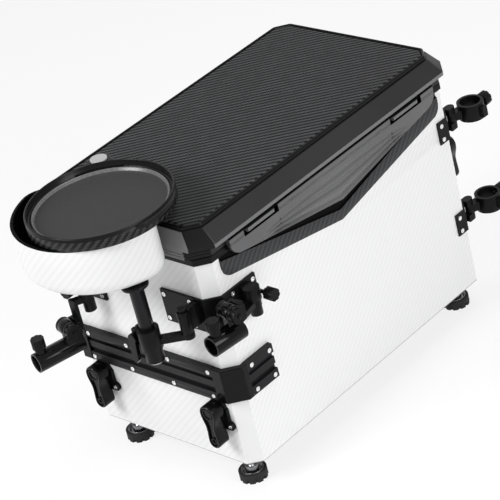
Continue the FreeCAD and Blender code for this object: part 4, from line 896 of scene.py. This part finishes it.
def lug_loops(side, middle):
    """A lug in steps from the skirt outward, its top set down from the ledge."""
    low, ledge = lid_low.z + 3 * MM, lid_low.z + 15.2 * MM
    loops = []
    for out, inset in ((161, 0), (170, 0), (173.4, 0), (174, 0.6)):
        high = ledge if out <= 170 else HINGE_Z
        a, b, c, d = (middle - LUG_HALF + inset * MM, middle + LUG_HALF - inset * MM, low + inset * MM,
                      high - inset * MM)
        loops.append([(side * out * MM, y, z) for y, z in ((a, c), (b, c), (b, d), (a, d))])
        if out == 170:
            loops.append([(side * out * MM, y, z) for y, z in ((a, c), (b, c), (b, HINGE_Z), (a, HINGE_Z))])
    return loops


def make_lid():
    mesh = bmesh.new()
    loops = []
    for half_x, half_y, height, corner in LID_PROFILE:
        loops.append(cut_corner_loop(half_x * MM, half_y * MM, corner * MM, LID_ROUNDING,
                                     lid_low.z + height * MM))
    inner = [cut_corner_loop(x * MM, y * MM, c * MM, LID_ROUNDING, lid_low.z + z * MM)
             for x, y, z, c in ((144, 259, 34, 15.4), (155, 270, 20, 21.3), (155, 270, 0, 21.3))]
    skin(mesh, loops + inner, [0] * (len(loops) + 2), False, False)
    roof = [cut_corner_loop(144 * MM, 259 * MM, 15.4 * MM, LID_ROUNDING, lid_low.z + z * MM)
            for z in (34, 38.8)]
    skin(mesh, roof, [0])
    for side in (1, -1):
        for middle in (LUG_MIDDLE, -LUG_MIDDLE):
            skin(mesh, lug_loops(side, middle), [0] * 4)
    return piece("lid", mesh, (lid_dark,), 25)


lid = make_lid()
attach(lid, "lid")
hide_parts("lid_shell", "lid_shell_skirt", "lid_panel")

# %% [markdown]
# The trim on the body's sides is a dark woven plate with a smooth black recess behind the flap's edge,
# where fingers go to lift it. The recess is real: the plate steps in along two slanted lines that meet in
# the middle.

# %% Side trim
trim_low, trim_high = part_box("side_apron_right")
RECESS_MIDDLE, RECESS_RISE = 323 * MM, 0.232
RECESS_DEPTH = 2.6 * MM


def trim_section(y):
    reach = abs(y) / trim_high.y
    bottom = trim_low.z + 46 * MM * reach
    turn = min(1.0, max(0.0, (abs(y) - 226 * MM) / (14 * MM)))
    bottom += 14 * MM * (1 - math.sqrt(1 - turn * turn))
    top = trim_high.z
    step = min(top - 2 * MM, max(bottom + 3 * MM, RECESS_MIDDLE + RECESS_RISE * abs(y)))
    outer, deep, inner = trim_high.x, trim_high.x - RECESS_DEPTH, trim_low.x
    points = [(inner, bottom), (outer - 1 * MM, bottom), (outer - 0.3 * MM, bottom + 0.3 * MM),
              (outer, bottom + 1 * MM), (outer, step - 0.8 * MM), (outer - 0.3 * MM, step - 0.2 * MM),
              (outer - 1 * MM, step), (deep, step + 0.2 * MM), (deep, top), (inner, top)]
    return [(x, y, z) for x, z in points]


def make_trim(name, side):
    mesh = bmesh.new()
    reach = trim_high.y
    steps = [-reach + 2 * reach * n / 240 for n in range(241)]
    loops = [[(side * x, y, z) for x, y, z in trim_section(y)] for y in steps]
    skin(mesh, loops, [0, 0, 0, 0, 0, 1, 1, 1, 1, 1])
    return piece(name, mesh, (dark_trim, tub_black), 38)


for word, side in (("right", 1), ("left", -1)):
    trim = make_trim("trim_" + word, side)
    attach(trim, "box")
    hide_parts("side_apron_" + word)

# %% [markdown]
# A lock lever is a moulded grip shaped like a figure of eight: a round hub, a waist and a round tip. A
# raised rim follows its outline, with a ringed disc over the pin and an open boss at the tip. The outline
# is drawn once and stepped inward for the rim.

# %% Lock levers
HUB_RADIUS, TIP_RADIUS, WAIST = 14, 10, 8.6
LEVER_REACH, LEVER_THICK = 48, 21.5
RIM_STEPS = ((1, 0), (0, 0.8), (0, 19.6), (0.4, 20.8), (1.2, 21.5), (2.5, 21.5), (3.1, 21), (3.4, 18.6))
HUB_DISC = ((9.4, 18.4), (9.4, 20.8), (8.9, 21.4), (7.7, 21.4), (7.2, 20.9), (7, 19.6), (0.5, 19.6))
TIP_BOSS = ((5.4, 18.4), (5.4, 20.4), (5, 21), (3.4, 21), (3, 20.4), (2.9, 18.9), (0.3, 18.9))


def lever_outline(inset):
    """The grip's plan in mm round its pin, stepped inward."""
    half = []
    for n in range(15):
        turn = math.radians(90 - 98 * n / 14)
        half.append((HUB_RADIUS * math.cos(turn), HUB_RADIUS * math.sin(turn)))
    edge = half[-1][0]
    for n in range(1, 20):
        share = n / 20
        if share < 0.5:
            t = share * 2
            width = edge + (WAIST - edge) * t * t * (3 - 2 * t)
        else:
            t = share * 2 - 1
            width = WAIST + (TIP_RADIUS - WAIST) * t * t * (3 - 2 * t)
        half.append((width, -2 - (LEVER_REACH - 2) * share))
    for n in range(11):
        turn = math.radians(-90 * n / 10)
        half.append((TIP_RADIUS * math.cos(turn), -LEVER_REACH + TIP_RADIUS * math.sin(turn)))
    points = half + [(-x, z) for x, z in half[-2:0:-1]]
    moved = []
    for n, (x, z) in enumerate(points):
        (ax, az), (bx, bz) = points[n - 1], points[(n + 1) % len(points)]
        run = math.hypot(bx - ax, bz - az)
        moved.append((x - inset * (az - bz) / run, z - inset * (bx - ax) / run))
    return moved


def make_lever(place):
    low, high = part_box("lock_lever_" + place)
    middle, hub = (low.x + high.x) / 2, high.z - HUB_RADIUS * MM
    front = low.y < 0
    face, way = (low.y, -1) if front else (high.y, 1)
    back = face - way * LEVER_THICK * MM
    mesh = bmesh.new()

    def set_down(plan, depth):
        return [(middle + x * MM, back + way * depth * MM, hub + z * MM) for x, z in plan]

    skin(mesh, [set_down(lever_outline(inset), depth) for inset, depth in RIM_STEPS], [0] * 7)
    for drop, profile in ((0, HUB_DISC), (LEVER_REACH - 2, TIP_BOSS)):
        loops = [set_down([(x, z - drop) for x, z in arc_points(0, 0, radius, 0, math.tau, 40)], depth)
                 for radius, depth in profile]
        skin(mesh, loops, [0] * 6)
    pin = [set_down(arc_points(0, 0, 4, 0, math.tau, 20), depth) for depth in (-21, 1)]
    skin(mesh, pin, [0])
    return piece("lever_grip_" + place, mesh, (gloss_black,), 40)


for place in ("front_right", "front_left", "rear_right", "rear_left"):
    grip = make_lever(place)
    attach(grip, "lever_" + place)
    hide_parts("lock_lever_" + place)

# %% [markdown]
# The floor and the world are white, as in a catalogue picture. The floor takes a little of its white from
# its own glow where the camera sees it, and the rest from the lamps, so the feet still drop a soft shadow.

# %% Floor
FLOOR_REACH = 30.0
floor_data = bpy.data.meshes.new("floor")
floor_data.from_pydata([(-FLOOR_REACH, -FLOOR_REACH, 0), (FLOOR_REACH, -FLOOR_REACH, 0),
                        (FLOOR_REACH, FLOOR_REACH, 0), (-FLOOR_REACH, FLOOR_REACH, 0)], [], [(0, 1, 2, 3)])
floor = bpy.data.objects.new("floor", floor_data)
bpy.context.scene.collection.objects.link(floor)


def seen_directly(tree):
    """1 for a ray from the camera, a reflection or a clear material, which all see the white background."""
    path = tree.nodes.new("ShaderNodeLightPath")
    seen = path.outputs["Is Camera Ray"]
    for kind in ("Is Glossy Ray", "Is Transmission Ray"):
        both = tree.nodes.new("ShaderNodeMath")
        both.operation = "MAXIMUM"
        tree.links.new(seen, both.inputs[0])
        tree.links.new(path.outputs[kind], both.inputs[1])
        seen = both.outputs[0]
    return seen


def floor_finish():
    finish = Finish("floor_white", specular=0.1)
    finish.colour((0.9, 0.9, 0.9, 1))
    finish.roughness(0.8)
    tree = finish.tree
    glow = tree.nodes.new("ShaderNodeEmission")
    glow.inputs["Strength"].default_value = 1.06
    blend = tree.nodes.new("ShaderNodeMixShader")
    seen = finish.sum("MULTIPLY", seen_directly(tree), 0.72)
    tree.links.new(seen, blend.inputs[0])
    tree.links.new(finish.shader.outputs[0], blend.inputs[1])
    tree.links.new(glow.outputs[0], blend.inputs[2])
    tree.links.new(blend.outputs[0], tree.nodes["Material Output"].inputs[0])
    return finish.material


floor_data.materials.append(floor_finish())
print("floor half width", FLOOR_REACH, "m")

# %% [markdown]
# The light is a soft studio's: a large key lamp ahead on the left, a fill lamp on the right and a weaker
# one above. The world adds a little from all round. The background seen past the object is plain white,
# which is set apart from the light that the world gives, so the picture's white doesn't burn out the white
# box.

# %% World and lamps
world = bpy.data.worlds.new("studio")
bpy.context.scene.world = world
world.use_nodes = True
wt = world.node_tree
sky = wt.nodes["Background"]
sky.inputs["Color"].default_value = (1, 1, 1, 1)
sky.inputs["Strength"].default_value = 0.22
seen_sky = wt.nodes.new("ShaderNodeBackground")
seen_sky.inputs["Strength"].default_value = 1.0
blend = wt.nodes.new("ShaderNodeMixShader")
wt.links.new(seen_directly(wt), blend.inputs[0])
wt.links.new(sky.outputs[0], blend.inputs[1])
wt.links.new(seen_sky.outputs[0], blend.inputs[2])
wt.links.new(blend.outputs[0], wt.nodes["World Output"].inputs[0])


def soft_lamp(name, place, aim, width, power):
    data = bpy.data.lights.new(name, "AREA")
    data.shape = "DISK"
    data.size = width
    data.energy = power
    lamp = bpy.data.objects.new(name, data)
    lamp.location = place
    lamp.rotation_euler = (Vector(aim) - Vector(place)).to_track_quat("-Z", "Y").to_euler()
    bpy.context.scene.collection.objects.link(lamp)
    return lamp


soft_lamp("key", (-0.9, -2.4, 2.2), (0, 0, 0.25), 1.5, 67)
soft_lamp("fill", (2.8, -0.4, 1.5), (0, 0, 0.25), 1.6, 47)
soft_lamp("top", (0.3, 0.6, 3.0), (0, 0, 0.3), 1.2, 22)
print("lamps", len(bpy.data.lights))

# %% [markdown]
# The camera stands where the photograph's did. Its direction, roll and distance come from matching the
# box's straight edges. It is built as a rotation from three unit vectors, because a tracked aim can't hold
# the photograph's roll.

# %% Camera
AIM = Vector((-0.2535, 0.1772, 0.048))
AZIMUTH, ELEVATION, ROLL = (math.radians(a) for a in (49.1, 29.8, -14.3))
DISTANCE = 3.8754
SENSOR = 36.0
FOCAL_SHARE = 2367.1 / 500
toward = Vector((math.sin(AZIMUTH) * math.cos(ELEVATION), -math.cos(AZIMUTH) * math.cos(ELEVATION),
                 math.sin(ELEVATION)))
level_right = (-toward).cross(Vector((0, 0, 1))).normalized()
level_up = level_right.cross(-toward)
right = level_right * math.cos(ROLL) + level_up * math.sin(ROLL)
up = level_up * math.cos(ROLL) - level_right * math.sin(ROLL)
camera_data = bpy.data.cameras.new("camera")
camera_data.sensor_width = SENSOR
camera_data.lens = SENSOR * FOCAL_SHARE
camera_data.clip_end = 100
camera = bpy.data.objects.new("camera", camera_data)
turn = Matrix((right, up, toward)).transposed().to_4x4()
camera.matrix_world = Matrix.Translation(AIM + toward * DISTANCE) @ turn
bpy.context.scene.collection.objects.link(camera)
bpy.context.scene.camera = camera
bpy.context.scene.view_settings.view_transform = "Standard"
print("camera at", [round(n, 3) for n in camera.matrix_world.translation])

# %% [markdown]

# %% Finish
bpy.context.view_layer.update()
